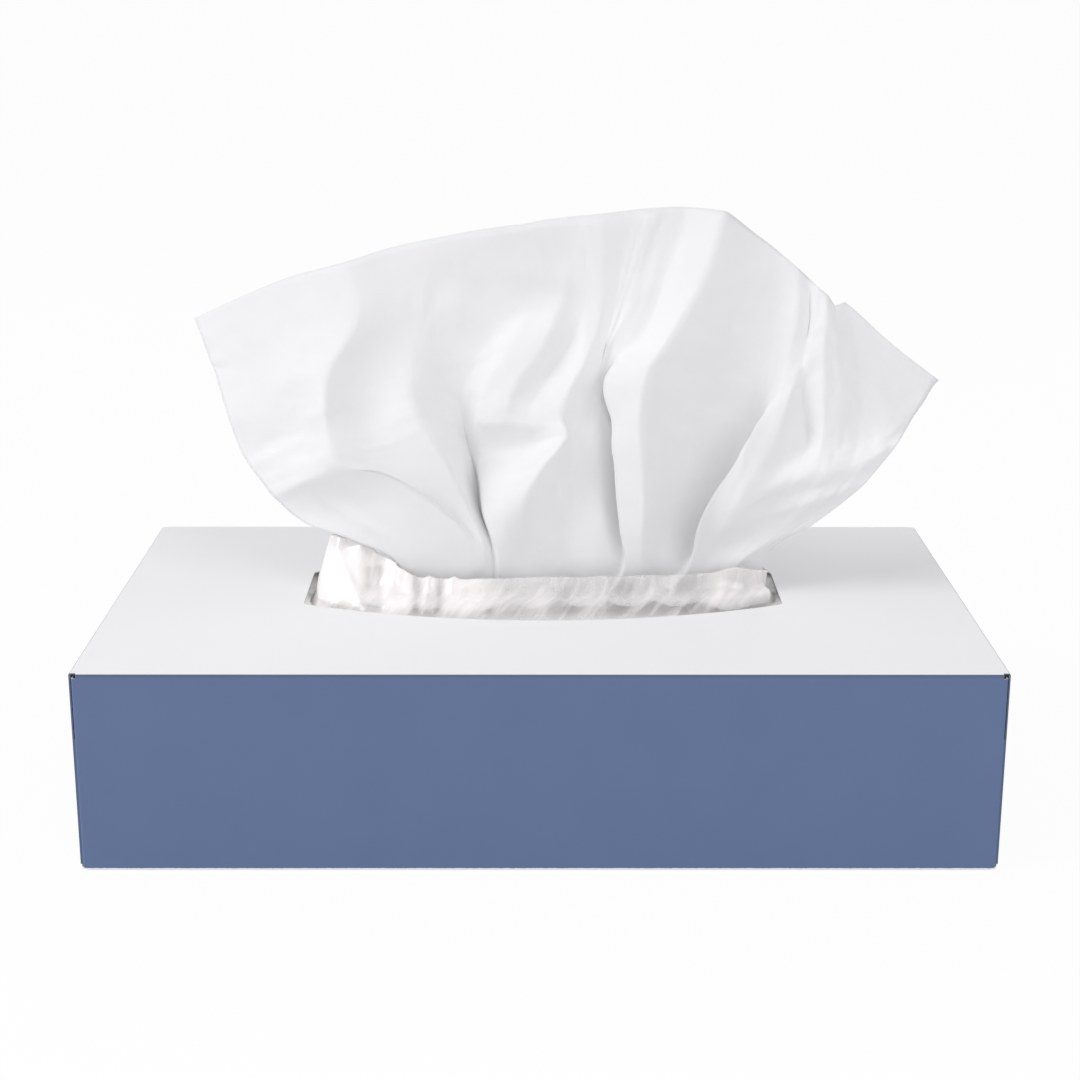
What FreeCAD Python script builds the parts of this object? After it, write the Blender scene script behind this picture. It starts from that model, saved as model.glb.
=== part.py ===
import FreeCAD, Part
import Sketcher
import math
import os

# A flat box of facial tissues: a folded and glued carton, the clear film with a slit under its
# opening, the interfolded stack inside and the one tissue that is drawn up through the slit.
# Frame: X along the carton, Y towards its back, Z up, origin under the middle of its bottom.

SIZES = [
    ("carton_length", 225.0, "outside length of the carton, along X"),
    ("carton_depth", 130.0, "outside depth of the carton, along Y"),
    ("carton_height", 51.0, "outside height of the carton"),
    ("board", 0.35, "thickness of the folded board"),
    ("fold_inner", 0.25, "inner radius of every fold in the board"),
    ("fold_start", 0.5, "flat board between the end of the panels' ring and the first fold"),
    ("seam_gap", 1.0, "free edge of the back panel above the table"),
    ("glue_flap", 16.0, "height of the seam flap glued inside the back panel"),
    ("dust_flap", 48.0, "reach of each side flap across the carton's end"),
    ("dust_trim", 1.1, "space above and below a side flap"),
    ("inner_flap", 34.0, "height of the bottom panel's end flap"),
    ("outer_flap_trim", 1.4, "space under the top panel's end flap"),
    ("opening_length", 126.5, "length of the dispensing opening"),
    ("opening_end", 29.0, "depth of the opening at its straight ends"),
    ("opening_bow", 13.6, "how far each long side of the opening bows outwards"),
    ("opening_corner", 2.0, "radius of the opening's corners"),
    ("opening_across", 1.0, "middle of the opening to the right of the carton's middle"),
    ("opening_back", 4.0, "middle of the opening behind the carton's middle"),
    ("stack_end_gap", 3.0, "space between the stack and each end of the carton"),
    ("stack_side_gap", 6.5, "space between the stack and each long side of the carton"),
    ("headroom", 8.0, "space between the stack and the top panel"),
    ("fold_rows", 12.0, "rounded bundles of folds drawn on each long side of the stack"),
    ("fold_bulge", 0.9, "how far each bundle of folds stands out"),
    ("fold_groove", 0.25, "flat groove between two bundles of folds"),
    ("film", 0.1, "thickness of the clear film"),
    ("film_length", 152.0, "length of the film's glued sheet"),
    ("film_depth", 82.0, "depth of the film's glued sheet"),
    ("glue_margin", 3.5, "glued board between the opening's edge and the free film"),
    ("slit_length", 117.6, "length of the slit in the film"),
    ("slit_across", 1.8, "middle of the slit to the right of the opening's middle"),
    ("lip_front", 10.4, "how far the tissue pushes the film's front lip forwards"),
    ("lip_back", 9.5, "how far the tissue pushes the film's back lip backwards"),
    ("lip_rise", 5.0, "height of the lips above the top panel, at the tissue"),
    ("slack_inset", 0.8, "how far inside the opening's ends the film hangs lowest"),
    ("slack_reach", 3.0, "how far inside the opening's long sides the film hangs lowest"),
    ("film_slack", 3.6, "how far the loose film behind the tissue hangs below the panel"),
    ("film_crinkle", 0.3, "depth of the film's crinkles"),
    ("film_bulge", 0.7, "how far the film in front of the slit bulges up"),
    ("film_root", 0.8, "height above the top panel where the film turns up to its front lip"),
    ("tissue", 0.3, "thickness of the drawn tissue with its crumples"),
    ("tissue_spread", 196.0, "width of the drawn tissue between its upper corners"),
    ("tissue_rise", 103.0, "height of the drawn tissue above the top panel"),
    ("fold_reach", 12.0, "how far the largest fold stands in front of the slit"),
    ("gather_width", 88.0, "width of the tissue where the slit gathers it"),
    ("gather_depth", 4.0, "depth of the gathered pleats in the slit"),
    ("gather_top", 2.5, "height above the top panel where the gathers are tightest"),
    ("gather_bottom", 4.0, "depth below the top panel where the gathers begin to spread"),
    ("gather_across", 9.0, "middle of the gathers to the right of the carton's middle"),
    ("bend_width", 100.0, "width of the tissue where it turns down onto the stack"),
    ("bend_back", 18.0, "how far behind the slit the tissue lies down on the stack"),
    ("bend_pleat", 0.9, "height of the flattening pleats there"),
    ("foot_spread", 190.0, "width of the drawn tissue's hidden end on the stack"),
    ("foot_trim", 5.0, "hidden end of the drawn tissue inside the stack's back edge"),
    ("rest_gap", 0.3, "space between the stack and the tissue lying on it"),
]

# Ribs of the film round the slit, and the steps between two stations of a rib of film or tissue.
FILM_RIBS = 60
FILM_STEPS = 2
FOLD_STEPS = 3

# How square the film's rings are, from the glued edge inwards: 2 is an ellipse, more is squarer.
GLUED_SQUARENESS = 12
MARGIN_SQUARENESS = 3.2
SLACK_SQUARENESS = 2.8

# Share of the way from the lip to the opening's edge where the film turns up, and how quickly
# the front lip becomes the back lip at the ends of the slit.
ROOT_SHARE = 0.22
LIP_TURN = 4.0

# How much of the tissue's lean above the slit is kept at the lips and under the film, and how
# much the two side edges follow the pleats there.
TOP_HOLD = 0.7
BOTTOM_HOLD = 0.0
EDGE_LEAN = 0.3

# The film's lips along the slit, from its left end at -1 to its right end at 1: the front lip as
# a share of lip_front, the back lip as a share of lip_back and their height as a multiple of
# lip_rise. Both ends stand up as small tents.
LIPS = [
    (-1.00, 0.04, 0.08, 2.64), (-0.91, 0.24, 0.21, 1.80), (-0.83, 0.53, 0.37, 1.28),
    (-0.73, 0.85, 0.63, 1.24), (-0.62, 0.98, 0.84, 0.80), (-0.45, 1.00, 0.95, 0.68),
    (-0.25, 1.00, 1.00, 0.92), (0.03, 1.00, 1.00, 1.00), (0.50, 1.00, 1.00, 1.04),
    (0.71, 0.96, 0.90, 1.20), (0.85, 0.90, 0.68, 1.56), (0.94, 0.66, 0.48, 1.30),
    (1.00, 0.04, 0.08, 1.00),
]

# How far the film dips just inside the opening, from its left end at -1 to its right end at 1,
# in front and behind, as shares of film_slack.
DIPS = [
    (-1.00, 0.95, 0.85), (-0.76, 0.72, 0.90), (-0.60, 0.06, 0.95), (-0.43, 0.50, 0.95),
    (-0.25, 0.17, 0.95), (0.57, 0.17, 0.95), (0.79, 0.50, 0.80), (1.00, 0.35, 0.35),
]

# The view in which the folds were measured: the picture's width in pixels, the lens and its
# sensor, the place of the eye in mm, and how far it looks down, aside and tilted, in degrees.
VIEW_WIDTH = 1080
VIEW_LENS = 67.77
VIEW_SENSOR = 36.0
VIEW_PLACE = (-1.45, -521.08, 216.54)
VIEW_DOWN = 16.156
VIEW_ASIDE = 0.18
VIEW_ROLL = 0.079

# The measured tissue: the slit's place behind the carton's middle, the top panel's height, and
# the spread, reach and rise that stand for the sizes of the same names.
SEEN_MIDDLE = 4.0
SEEN_TOP = 51.0
SEEN_SPREAD = 196.0
SEEN_REACH = 12.0
SEEN_RISE = 103.0

# The folds of the drawn tissue from its left edge to its right edge, each with nine stations
# from the free edge down to the slit: pixel across, pixel down and mm behind the slit's middle.
FOLDS = [
    ("left_edge", [
        (195, 318, 4), (205, 345, 3), (215, 372, 2), (227, 410, 0), (243, 455, -2),
        (268, 489, -5), (300, 520, -7), (352, 540, -8), (398, 564, -8),
    ]),
    ("left_dip", [
        (289, 277, -1), (292, 330, -3), (290, 370, -5), (294, 405, -6), (302, 441, -7),
        (318, 466, -11), (348, 492, -7), (396, 524, -9), (430, 558, -9),
    ]),
    ("left_ridge", [
        (345, 262, -3), (358, 315, -6), (328, 378, -10), (325, 410, -12), (329, 437, -12),
        (334, 460, -11), (383, 475, -10), (430, 505, -9), (466, 546, -8),
    ]),
    ("left_valley", [
        (385, 249, -2), (394, 310, -3), (356, 378, -6), (357, 412, -7), (370, 436, -8.5),
        (400, 456, -9), (432, 484, -9), (456, 512, -8), (478, 547, -8),
    ]),
    ("band_ridge", [
        (425, 240, -1), (430, 300, -1), (410, 366, -4), (412, 395, -7), (420, 420, -9),
        (437, 445, -10), (457, 476, -10), (471, 506, -9), (487, 548, -8),
    ]),
    ("hollow", [
        (465, 232, -0.5), (462, 300, 0), (440, 350, 0), (440, 385, 0), (449, 412, 1),
        (460, 438, -1), (472, 468, -3), (482, 502, -5), (494, 549, -7),
    ]),
    ("pocket_edge", [
        (522, 224, -0.5), (540, 300, 0), (516, 345, -3), (486, 388, -3), (478, 418, -1),
        (484, 455, -3), (488, 488, -7), (493, 515, -9), (504, 550, -9),
    ]),
    ("second_valley", [
        (575, 216, -0.5), (580, 318, -0.5), (562, 350, -1.5), (538, 388, -1.5), (528, 418, -2),
        (532, 444, -1), (533, 465, -3), (522, 490, -10), (526, 553, -8),
    ]),
    ("second_crest", [
        (603, 213, -0.5), (593, 340, -4), (580, 368, -6), (566, 398, -6), (562, 415, -6),
        (568, 436, -8), (560, 447, -9), (545, 467, -10), (543, 555, -8),
    ]),
    ("strip_fold", [
        (660, 208, -1), (634, 318, -0.5), (606, 372, -1), (598, 402, -1), (598, 430, -2),
        (600, 465, -3), (602, 500, -4), (602, 530, -7), (602, 562, -8),
    ]),
    ("great_edge", [
        (688, 207, -1), (668, 268, -2), (640, 340, -3), (604, 381, -8), (611, 420, -9),
        (615, 462, -10), (617, 500, -10), (620, 532, -10), (625, 566, -9),
    ]),
    ("great_crest", [
        (726, 211, -5), (702, 283, -7), (671, 335, -9), (648, 375, -12), (641, 415, -13),
        (643, 462, -13), (645, 500, -13), (643, 535, -12), (641, 567, -9),
    ]),
    ("great_valley", [
        (752, 231, -1), (746, 290, -1), (730, 335, -1), (712, 375, 1), (700, 415, 2),
        (692, 455, 2), (686, 490, 1), (676, 530, -1), (660, 567, -6),
    ]),
    ("flap_edge", [
        (798, 268, -1), (797, 310, -2), (788, 352, -3), (776, 397, -5), (757, 424, -8),
        (735, 464, -10), (716, 490, -10), (699, 524, -10), (688, 569, -9),
    ]),
    ("triangle_valley", [
        (818, 287, 0), (812, 330, 0), (804, 365, 0), (800, 394, 0), (808, 440, -3),
        (790, 480, -10), (776, 500, -7), (750, 536, -5), (722, 567, -7),
    ]),
    ("notch_crease", [
        (827, 294, -2), (825, 325, -4), (824, 355, -5), (824, 390, -6), (822, 440, -7),
        (815, 473, -11), (802, 494, -8), (774, 530, -5), (738, 564, -7),
    ]),
    ("right_flap", [
        (847, 303, 0), (852, 335, 0), (857, 370, -1), (859, 400, -2), (857, 440, -4),
        (850, 466, -10), (834, 488, -9), (800, 521, -5), (751, 560, -5),
    ]),
    ("right_edge", [
        (938, 380, 5), (930, 391, 4), (921, 405, 3), (911, 420, 1), (905, 431, -1),
        (897, 444, -5), (865, 482, -8), (814, 524, -5), (768, 553, -1),
    ]),
]

def add_sizes(doc):
    """Fills the sheet of driving sizes: name, value and what it measures."""
    sheet = doc.addObject("Spreadsheet::Sheet", "sizes")
    for row, (alias, value, words) in enumerate(SIZES, start=1):
        sheet.set("A%d" % row, alias)
        sheet.set("B%d" % row, str(value))
        sheet.set("C%d" % row, words)
        sheet.setAlias("B%d" % row, alias)
    doc.recompute()
    return sheet


def add_body(doc, label):
    """Starts one sub-part."""
    body = doc.addObject("PartDesign::Body", label)
    body.Label = label
    return body


def origin_part(body, role):
    """Finds a plane or axis of the body's own origin."""
    return [feature for feature in body.Origin.OriginFeatures if feature.Role == role][0]


def add_sketch(body, role, name, height=None):
    """Attaches a sketch to one of the body's origin planes, lifted by an expression if given."""
    sketch = body.newObject("Sketcher::SketchObject", name)
    sketch.AttachmentSupport = [(origin_part(body, role), "")]
    sketch.MapMode = "FlatFace"
    if height:
        sketch.setExpression("AttachmentOffset.Base.z", height)
    return sketch


def add_constraint(sketch, expression, *constraint):
    """Adds a measured constraint and binds it to the sheet."""
    index = sketch.addConstraint(Sketcher.Constraint(*constraint, sketch.evalExpression(expression)))
    sketch.setExpression("Constraints[%d]" % index, expression)


def draw_outline(sketch, walls):
    """Draws a closed run of walls. Each is upright or level, stands at an expression's place and
    ends in a corner with an expression's radius, or in a sharp one."""
    upright = [kind == "upright" for kind, _, _ in walls]
    place = [sketch.evalExpression(expression) for _, expression, _ in walls]
    radius = [sketch.evalExpression(fold) if fold else 0.0 for _, _, fold in walls]
    count = len(walls)
    corner = []
    for i in range(count):
        after = (i + 1) % count
        across, up = (place[i], place[after]) if upright[i] else (place[after], place[i])
        corner.append(FreeCAD.Vector(across, up, 0))
    heading = [(corner[i] - corner[i - 1]).normalize() for i in range(count)]
    lines = []
    for i in range(count):
        start = corner[i - 1] + heading[i] * radius[i - 1]
        end = corner[i] - heading[i] * radius[i]
        lines.append(sketch.addGeometry(Part.LineSegment(start, end), False))
        sketch.addConstraint(Sketcher.Constraint("Vertical" if upright[i] else "Horizontal", lines[i]))
        distance = "DistanceX" if upright[i] else "DistanceY"
        add_constraint(sketch, walls[i][1], distance, -1, 1, lines[i], 1)
    for i in range(count):
        after = (i + 1) % count
        if not radius[i]:
            sketch.addConstraint(Sketcher.Constraint("Coincident", lines[i], 2, lines[after], 1))
            continue
        draw_fold(sketch, corner[i], heading[i], heading[after], lines[i], lines[after], walls[i][2])


def draw_fold(sketch, corner, heading, next_heading, line, next_line, expression):
    """Rounds the corner between two walls with a tangent arc."""
    radius = sketch.evalExpression(expression)
    centre = corner + (next_heading - heading) * radius
    first = -next_heading
    last = heading
    turns_left = heading.cross(next_heading).z > 0
    if not turns_left:
        first, last = last, first
    angles = [math.atan2(way.y, way.x) for way in (first, last)]
    circle = Part.Circle(centre, FreeCAD.Vector(0, 0, 1), radius)
    arc = sketch.addGeometry(Part.ArcOfCircle(circle, angles[0], angles[1]), False)
    start, end = (1, 2) if turns_left else (2, 1)
    sketch.addConstraint(Sketcher.Constraint("Tangent", line, 2, arc, start))
    sketch.addConstraint(Sketcher.Constraint("Tangent", next_line, 1, arc, end))
    add_constraint(sketch, expression, "Radius", arc)


def add_pad(body, name, sketch, length, both_ways=True):
    """Pads a sketch by an expression's length, to both sides of its plane or along its normal."""
    pad = body.newObject("PartDesign::Pad", name)
    pad.Profile = sketch
    pad.SideType = "Symmetric" if both_ways else "One side"
    pad.setExpression("Length", length)
    return pad


def build_carton(doc):
    """The folded and glued board: four panels, a seam flap and four glued flaps at each end."""
    body = add_body(doc, "carton")
    fold = "sizes.board + sizes.fold_inner"
    bend = "sizes.fold_inner"
    panel_end = "sizes.carton_length / 2 - 3 * sizes.board - sizes.fold_inner - sizes.fold_start"
    front = "-sizes.carton_depth / 2"
    back = "sizes.carton_depth / 2"
    top = "sizes.carton_height"

    ring = add_sketch(body, "YZ_Plane", "panel_outline")
    draw_outline(ring, [
        ("level", "0", fold),
        ("upright", back + " - sizes.board", None),
        ("level", "sizes.seam_gap", None),
        ("upright", back, fold),
        ("level", top, fold),
        ("upright", front, fold),
    ])
    draw_outline(ring, [
        ("level", "sizes.board", bend),
        ("upright", back + " - 2 * sizes.board", None),
        ("level", "sizes.glue_flap", None),
        ("upright", back + " - sizes.board", bend),
        ("level", top + " - sizes.board", bend),
        ("upright", front + " + sizes.board", bend),
    ])
    add_pad(body, "panels", ring, "2 * (" + panel_end + ")")

    dust = add_sketch(body, "XY_Plane", "dust_flap_outline", "sizes.dust_trim")
    dust_face = "sizes.carton_length / 2 - 2 * sizes.board"
    draw_outline(dust, [
        ("level", front, fold),
        ("upright", dust_face, None),
        ("level", front + " + sizes.dust_flap", None),
        ("upright", dust_face + " - sizes.board", bend),
        ("level", front + " + sizes.board", None),
        ("upright", panel_end, None),
    ])
    draw_outline(dust, [
        ("level", back + " - sizes.board", bend),
        ("upright", dust_face + " - sizes.board", None),
        ("level", back + " - sizes.dust_flap", None),
        ("upright", dust_face, fold),
        ("level", back, None),
        ("upright", panel_end, None),
    ])
    dust_flaps = add_pad(body, "dust_flaps", dust, top + " - 2 * sizes.dust_trim", both_ways=False)

    flap_width = "sizes.carton_depth - 2 * (2 * sizes.board + sizes.fold_inner)"
    inner = add_sketch(body, "XZ_Plane", "inner_flap_outline")
    inner_face = "sizes.carton_length / 2 - sizes.board"
    draw_outline(inner, [
        ("level", "0", fold),
        ("upright", inner_face, None),
        ("level", "sizes.inner_flap", None),
        ("upright", inner_face + " - sizes.board", bend),
        ("level", "sizes.board", None),
        ("upright", panel_end, None),
    ])
    inner_flap = add_pad(body, "inner_flap", inner, flap_width)

    outer = add_sketch(body, "XZ_Plane", "outer_flap_outline")
    outer_face = "sizes.carton_length / 2"
    draw_outline(outer, [
        ("level", top + " - sizes.board", bend),
        ("upright", outer_face + " - sizes.board", None),
        ("level", "sizes.outer_flap_trim", None),
        ("upright", outer_face, fold),
        ("level", top, None),
        ("upright", panel_end, None),
    ])
    outer_flap = add_pad(body, "outer_flap", outer, flap_width)

    other_end = body.newObject("PartDesign::Mirrored", "other_end")
    other_end.Originals = [dust_flaps, inner_flap, outer_flap]
    other_end.MirrorPlane = (origin_part(body, "YZ_Plane"), [""])
    body.Tip = other_end
    doc.recompute()
    cut_opening(doc, body)
    return body


def cut_opening(doc, body):
    """The dispensing opening in the top panel: straight ends, bowed long sides, rounded corners."""
    sketch = add_sketch(body, "XY_Plane", "opening_outline", "sizes.carton_height")
    half = sketch.evalExpression("sizes.opening_length / 2")
    end = sketch.evalExpression("sizes.opening_end / 2")
    bow = sketch.evalExpression("sizes.opening_bow")
    across = sketch.evalExpression("sizes.opening_across")
    back = sketch.evalExpression("sizes.opening_back")
    corners = [(-half, -end), (half, -end), (half, end), (-half, end)]
    corners = [FreeCAD.Vector(across + x, back + y, 0) for x, y in corners]
    front_middle = FreeCAD.Vector(across, back - end - bow, 0)
    back_middle = FreeCAD.Vector(across, back + end + bow, 0)
    front_bow = sketch.addGeometry(Part.Arc(corners[0], front_middle, corners[1]), False)
    right_end = sketch.addGeometry(Part.LineSegment(corners[1], corners[2]), False)
    back_bow = sketch.addGeometry(Part.Arc(corners[2], back_middle, corners[3]), False)
    left_end = sketch.addGeometry(Part.LineSegment(corners[3], corners[0]), False)
    sketch.addConstraint(Sketcher.Constraint("Coincident", front_bow, 2, right_end, 1))
    sketch.addConstraint(Sketcher.Constraint("Coincident", right_end, 2, back_bow, 1))
    sketch.addConstraint(Sketcher.Constraint("Coincident", back_bow, 2, left_end, 1))
    sketch.addConstraint(Sketcher.Constraint("Coincident", left_end, 2, front_bow, 1))
    left = "sizes.opening_across - sizes.opening_length / 2"
    right = "sizes.opening_across + sizes.opening_length / 2"
    near = "sizes.opening_back - sizes.opening_end / 2"
    far = "sizes.opening_back + sizes.opening_end / 2"
    bow_radius = "sizes.opening_bow / 2 + (sizes.opening_length / 2) ^ 2 / (2 * sizes.opening_bow)"
    add_constraint(sketch, right, "DistanceX", -1, 1, right_end, 1)
    add_constraint(sketch, near, "DistanceY", -1, 1, right_end, 1)
    add_constraint(sketch, right, "DistanceX", -1, 1, right_end, 2)
    add_constraint(sketch, far, "DistanceY", -1, 1, right_end, 2)
    add_constraint(sketch, left, "DistanceX", -1, 1, left_end, 1)
    add_constraint(sketch, far, "DistanceY", -1, 1, left_end, 1)
    add_constraint(sketch, left, "DistanceX", -1, 1, left_end, 2)
    add_constraint(sketch, near, "DistanceY", -1, 1, left_end, 2)
    add_constraint(sketch, bow_radius, "Radius", front_bow)
    add_constraint(sketch, bow_radius, "Radius", back_bow)
    whole = body.Shape.Volume
    opening = body.newObject("PartDesign::Pocket", "opening")
    opening.Profile = sketch
    opening.setExpression("Length", "2 * sizes.board")
    body.Tip = opening
    doc.recompute()
    panel = sketch.evalExpression("sizes.board * sizes.opening_length * sizes.opening_end")
    if whole - opening.Shape.Volume < panel:
        raise RuntimeError("the opening doesn't cut the top panel")

    board = sketch.evalExpression("sizes.board")
    rounded = body.newObject("PartDesign::Fillet", "opening_corners")
    rounded.Base = (opening, upright_edges(opening.Shape, corners, board))
    rounded.setExpression("Radius", "sizes.opening_corner")
    body.Tip = rounded


def upright_edges(shape, points, length):
    """Names the upright edges of the given length that stand over one of the points."""
    names = []
    for number, edge in enumerate(shape.Edges, start=1):
        ends = [vertex.Point for vertex in edge.Vertexes]
        if len(ends) != 2 or abs(abs(ends[0].z - ends[1].z) - length) > 0.001:
            continue
        if any(math.hypot(ends[0].x - p.x, ends[0].y - p.y) < 0.001 for p in points):
            names.append("Edge%d" % number)
    return names


def build_stack(doc):
    """The interfolded tissues as one block, with their folds along both long sides."""
    body = add_body(doc, "tissue_stack")
    length = "sizes.carton_length - 2 * (3 * sizes.board + sizes.stack_end_gap)"
    side = "sizes.carton_depth / 2 - sizes.board - sizes.stack_side_gap - sizes.fold_bulge"
    top = "sizes.carton_height - sizes.board - sizes.headroom"
    row = "((" + top + " - sizes.board) / sizes.fold_rows)"
    block = add_sketch(body, "YZ_Plane", "block_outline")
    draw_outline(block, [
        ("level", "sizes.board", None),
        ("upright", side, None),
        ("level", top, None),
        ("upright", "-(" + side + ")", None),
    ])
    add_pad(body, "block", block, length)

    folds = add_sketch(body, "YZ_Plane", "fold_outline")
    draw_bulge(folds, side, row, 1)
    draw_bulge(folds, "-(" + side + ")", row, -1)
    fold_row = add_pad(body, "fold_row", folds, length)
    rows = body.newObject("PartDesign::LinearPattern", "rows")
    rows.Originals = [fold_row]
    rows.Direction = (origin_part(body, "Z_Axis"), [""])
    rows.setExpression("Length", top + " - sizes.board - " + row)
    rows.setExpression("Occurrences", "sizes.fold_rows")
    body.Tip = rows
    return body


def draw_bulge(sketch, side, row, way):
    """One rounded bundle of folds that stands out of the block's side."""
    low = "sizes.board + sizes.fold_groove / 2"
    high = "sizes.board + " + row + " - sizes.fold_groove / 2"
    bulge = sketch.evalExpression("sizes.fold_bulge")
    foot = FreeCAD.Vector(sketch.evalExpression(side), sketch.evalExpression(low), 0)
    head = FreeCAD.Vector(foot.x, sketch.evalExpression(high), 0)
    middle = FreeCAD.Vector(foot.x + way * bulge, (foot.y + head.y) / 2, 0)
    line = sketch.addGeometry(Part.LineSegment(head, foot), False)
    arc = sketch.addGeometry(Part.Arc(foot, middle, head), False)
    arc_foot, arc_head = (1, 2) if way > 0 else (2, 1)
    sketch.addConstraint(Sketcher.Constraint("Coincident", line, 2, arc, arc_foot))
    sketch.addConstraint(Sketcher.Constraint("Coincident", line, 1, arc, arc_head))
    add_constraint(sketch, side, "DistanceX", -1, 1, line, 1)
    add_constraint(sketch, side, "DistanceX", -1, 1, line, 2)
    add_constraint(sketch, high, "DistanceY", -1, 1, line, 1)
    add_constraint(sketch, low, "DistanceY", -1, 1, line, 2)
    half_row = "((" + row + " - sizes.fold_groove) / 2)"
    radius = "sizes.fold_bulge / 2 + " + half_row + " ^ 2 / (2 * sizes.fold_bulge)"
    add_constraint(sketch, radius, "Radius", arc)


def ring_point(turn, half_length, half_depth, squareness):
    """Point of a closed curve at a turn: squareness 2 gives an ellipse, more gives squarer."""
    across, back = math.cos(turn), math.sin(turn)
    scale = (abs(across) ** squareness + abs(back) ** squareness) ** (-1 / squareness)
    return half_length * across * scale, half_depth * back * scale


def between(table, place):
    """Reads a table whose rows start with a place, smoothly between its rows."""
    place = min(max(place, table[0][0]), table[-1][0])
    for low, high in zip(table, table[1:]):
        if place <= high[0]:
            share = (place - low[0]) / (high[0] - low[0])
            share = share * share * (3 - 2 * share)
            return [a + (b - a) * share for a, b in zip(low[1:], high[1:])]
    return list(table[-1][1:])


def smooth_line(points, steps):
    """Points along a smooth curve through the given ones."""
    lengths = [(b - a).Length for a, b in zip(points, points[1:])]
    slopes = []
    for i in range(len(points)):
        before = (points[i] - points[i - 1]) / lengths[i - 1] if i else None
        after = (points[i + 1] - points[i]) / lengths[i] if i < len(lengths) else None
        if before is None or after is None:
            slopes.append(before or after)
            continue
        total = lengths[i - 1] + lengths[i]
        slopes.append(before * (lengths[i] / total) + after * (lengths[i - 1] / total))
    line = []
    for i, length in enumerate(lengths):
        for step in range(steps):
            t = step / steps
            start = 2 * t ** 3 - 3 * t ** 2 + 1
            leave = (t ** 3 - 2 * t ** 2 + t) * length
            arrive = (t ** 3 - t ** 2) * length
            line.append(points[i] * start + points[i + 1] * (1 - start)
                        + slopes[i] * leave + slopes[i + 1] * arrive)
    line.append(points[-1])
    return line


def sheet_solid(ribs, thickness, closed):
    """Gives a thickness to a sheet drawn as ribs of points, side by side or closed to a ring."""
    count, stations = len(ribs), len(ribs[0])
    strips = count if closed else count - 1
    sides = [[FreeCAD.Vector() for _ in range(stations)] for _ in range(count)]
    for i in range(strips):
        left, right = i, (i + 1) % count
        for j in range(stations - 1):
            across = ribs[right][j + 1] - ribs[left][j]
            down = ribs[left][j + 1] - ribs[right][j]
            side = down.cross(across)
            for rib, station in ((left, j), (left, j + 1), (right, j), (right, j + 1)):
                sides[rib][station] += side
    front, back = [], []
    for rib, side_row in zip(ribs, sides):
        for point, side in zip(rib, side_row):
            offset = side.normalize() * (thickness / 2)
            front.append(point + offset)
            back.append(point - offset)
    facets = []

    def add_quad(a, b, c, d):
        facets.append((a, b, c))
        facets.append((a, c, d))

    behind = len(front)
    for i in range(strips):
        left, right = i * stations, (i + 1) % count * stations
        for j in range(stations - 1):
            add_quad(left + j, left + j + 1, right + j + 1, right + j)
            add_quad(behind + left + j, behind + right + j, behind + right + j + 1, behind + left + j + 1)
        end = stations - 1
        add_quad(left, right, behind + right, behind + left)
        add_quad(left + end, behind + left + end, behind + right + end, right + end)
    if not closed:
        last = (count - 1) * stations
        for j in range(stations - 1):
            add_quad(j, behind + j, behind + j + 1, j + 1)
            add_quad(last + j, last + j + 1, behind + last + j + 1, behind + last + j)
    shape = Part.Shape()
    shape.makeShapeFromMesh((front + back, facets), 0.0001)
    solid = Part.makeSolid(shape)
    if solid.Volume < 0:
        solid.reverse()
    return solid


def add_shaped(doc, label, solid):
    """Adds a sub-part whose solid is built from ribs."""
    feature = doc.addObject("Part::Feature", label)
    feature.Label = label
    feature.Shape = solid
    feature.Placement = FreeCAD.Placement()
    return feature


def build_film(doc, sheet):
    """The clear film glued under the opening, slack round its slit, with lips that stand up."""
    size = sheet.get
    top = size("carton_height")
    panel = top - size("board") - size("film") / 2
    half_length = size("opening_length") / 2
    half_depth = size("opening_end") / 2 + size("opening_bow")
    margin = size("glue_margin")
    inset = size("slack_inset")
    reach = size("slack_reach")
    middle = FreeCAD.Vector(size("opening_across"), size("opening_back"), panel)
    ribs = []
    for number in range(FILM_RIBS):
        turn = 2 * math.pi * number / FILM_RIBS
        crinkle = size("film_crinkle") * (-1) ** number * abs(math.sin(turn))
        behind = (1 + max(-1.0, min(1.0, LIP_TURN * math.sin(turn)))) / 2
        place = math.cos(turn)
        front, back, rise = between(LIPS, place)
        across = size("opening_across") + size("slit_across") + place * size("slit_length") / 2
        depth = back * size("lip_back") * behind - front * size("lip_front") * (1 - behind)
        lip = FreeCAD.Vector(across, size("opening_back") + depth, top + rise * size("lip_rise"))
        glued = ring_point(turn, size("film_length") / 2, size("film_depth") / 2, GLUED_SQUARENESS)
        free = ring_point(turn, half_length + margin, half_depth + margin, MARGIN_SQUARENESS)
        slack = ring_point(turn, half_length - inset, half_depth - reach, SLACK_SQUARENESS)
        front_dip, back_dip = between(DIPS, slack[0] / half_length)
        dip = size("film_slack") * (front_dip + (back_dip - front_dip) * behind)
        edge = middle + FreeCAD.Vector(slack[0], slack[1], -dip)
        root = lip + (edge - lip) * ROOT_SHARE
        root.z = top + size("film_root") + ROOT_SHARE * (lip.z - top) * (1 - behind)
        root.z -= (size("film_slack") + size("film_root")) * behind
        half_way = (root + edge) * 0.5
        half_way.z += size("film_bulge") * (1 - behind) + crinkle
        line = [
            middle + FreeCAD.Vector(glued[0], glued[1], 0),
            middle + FreeCAD.Vector(free[0], free[1], 0),
        ]
        ribs.append(line + smooth_line([edge, half_way, root, lip], FILM_STEPS))
    return add_shaped(doc, "window_film", sheet_solid(ribs, size("film"), closed=True))


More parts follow.
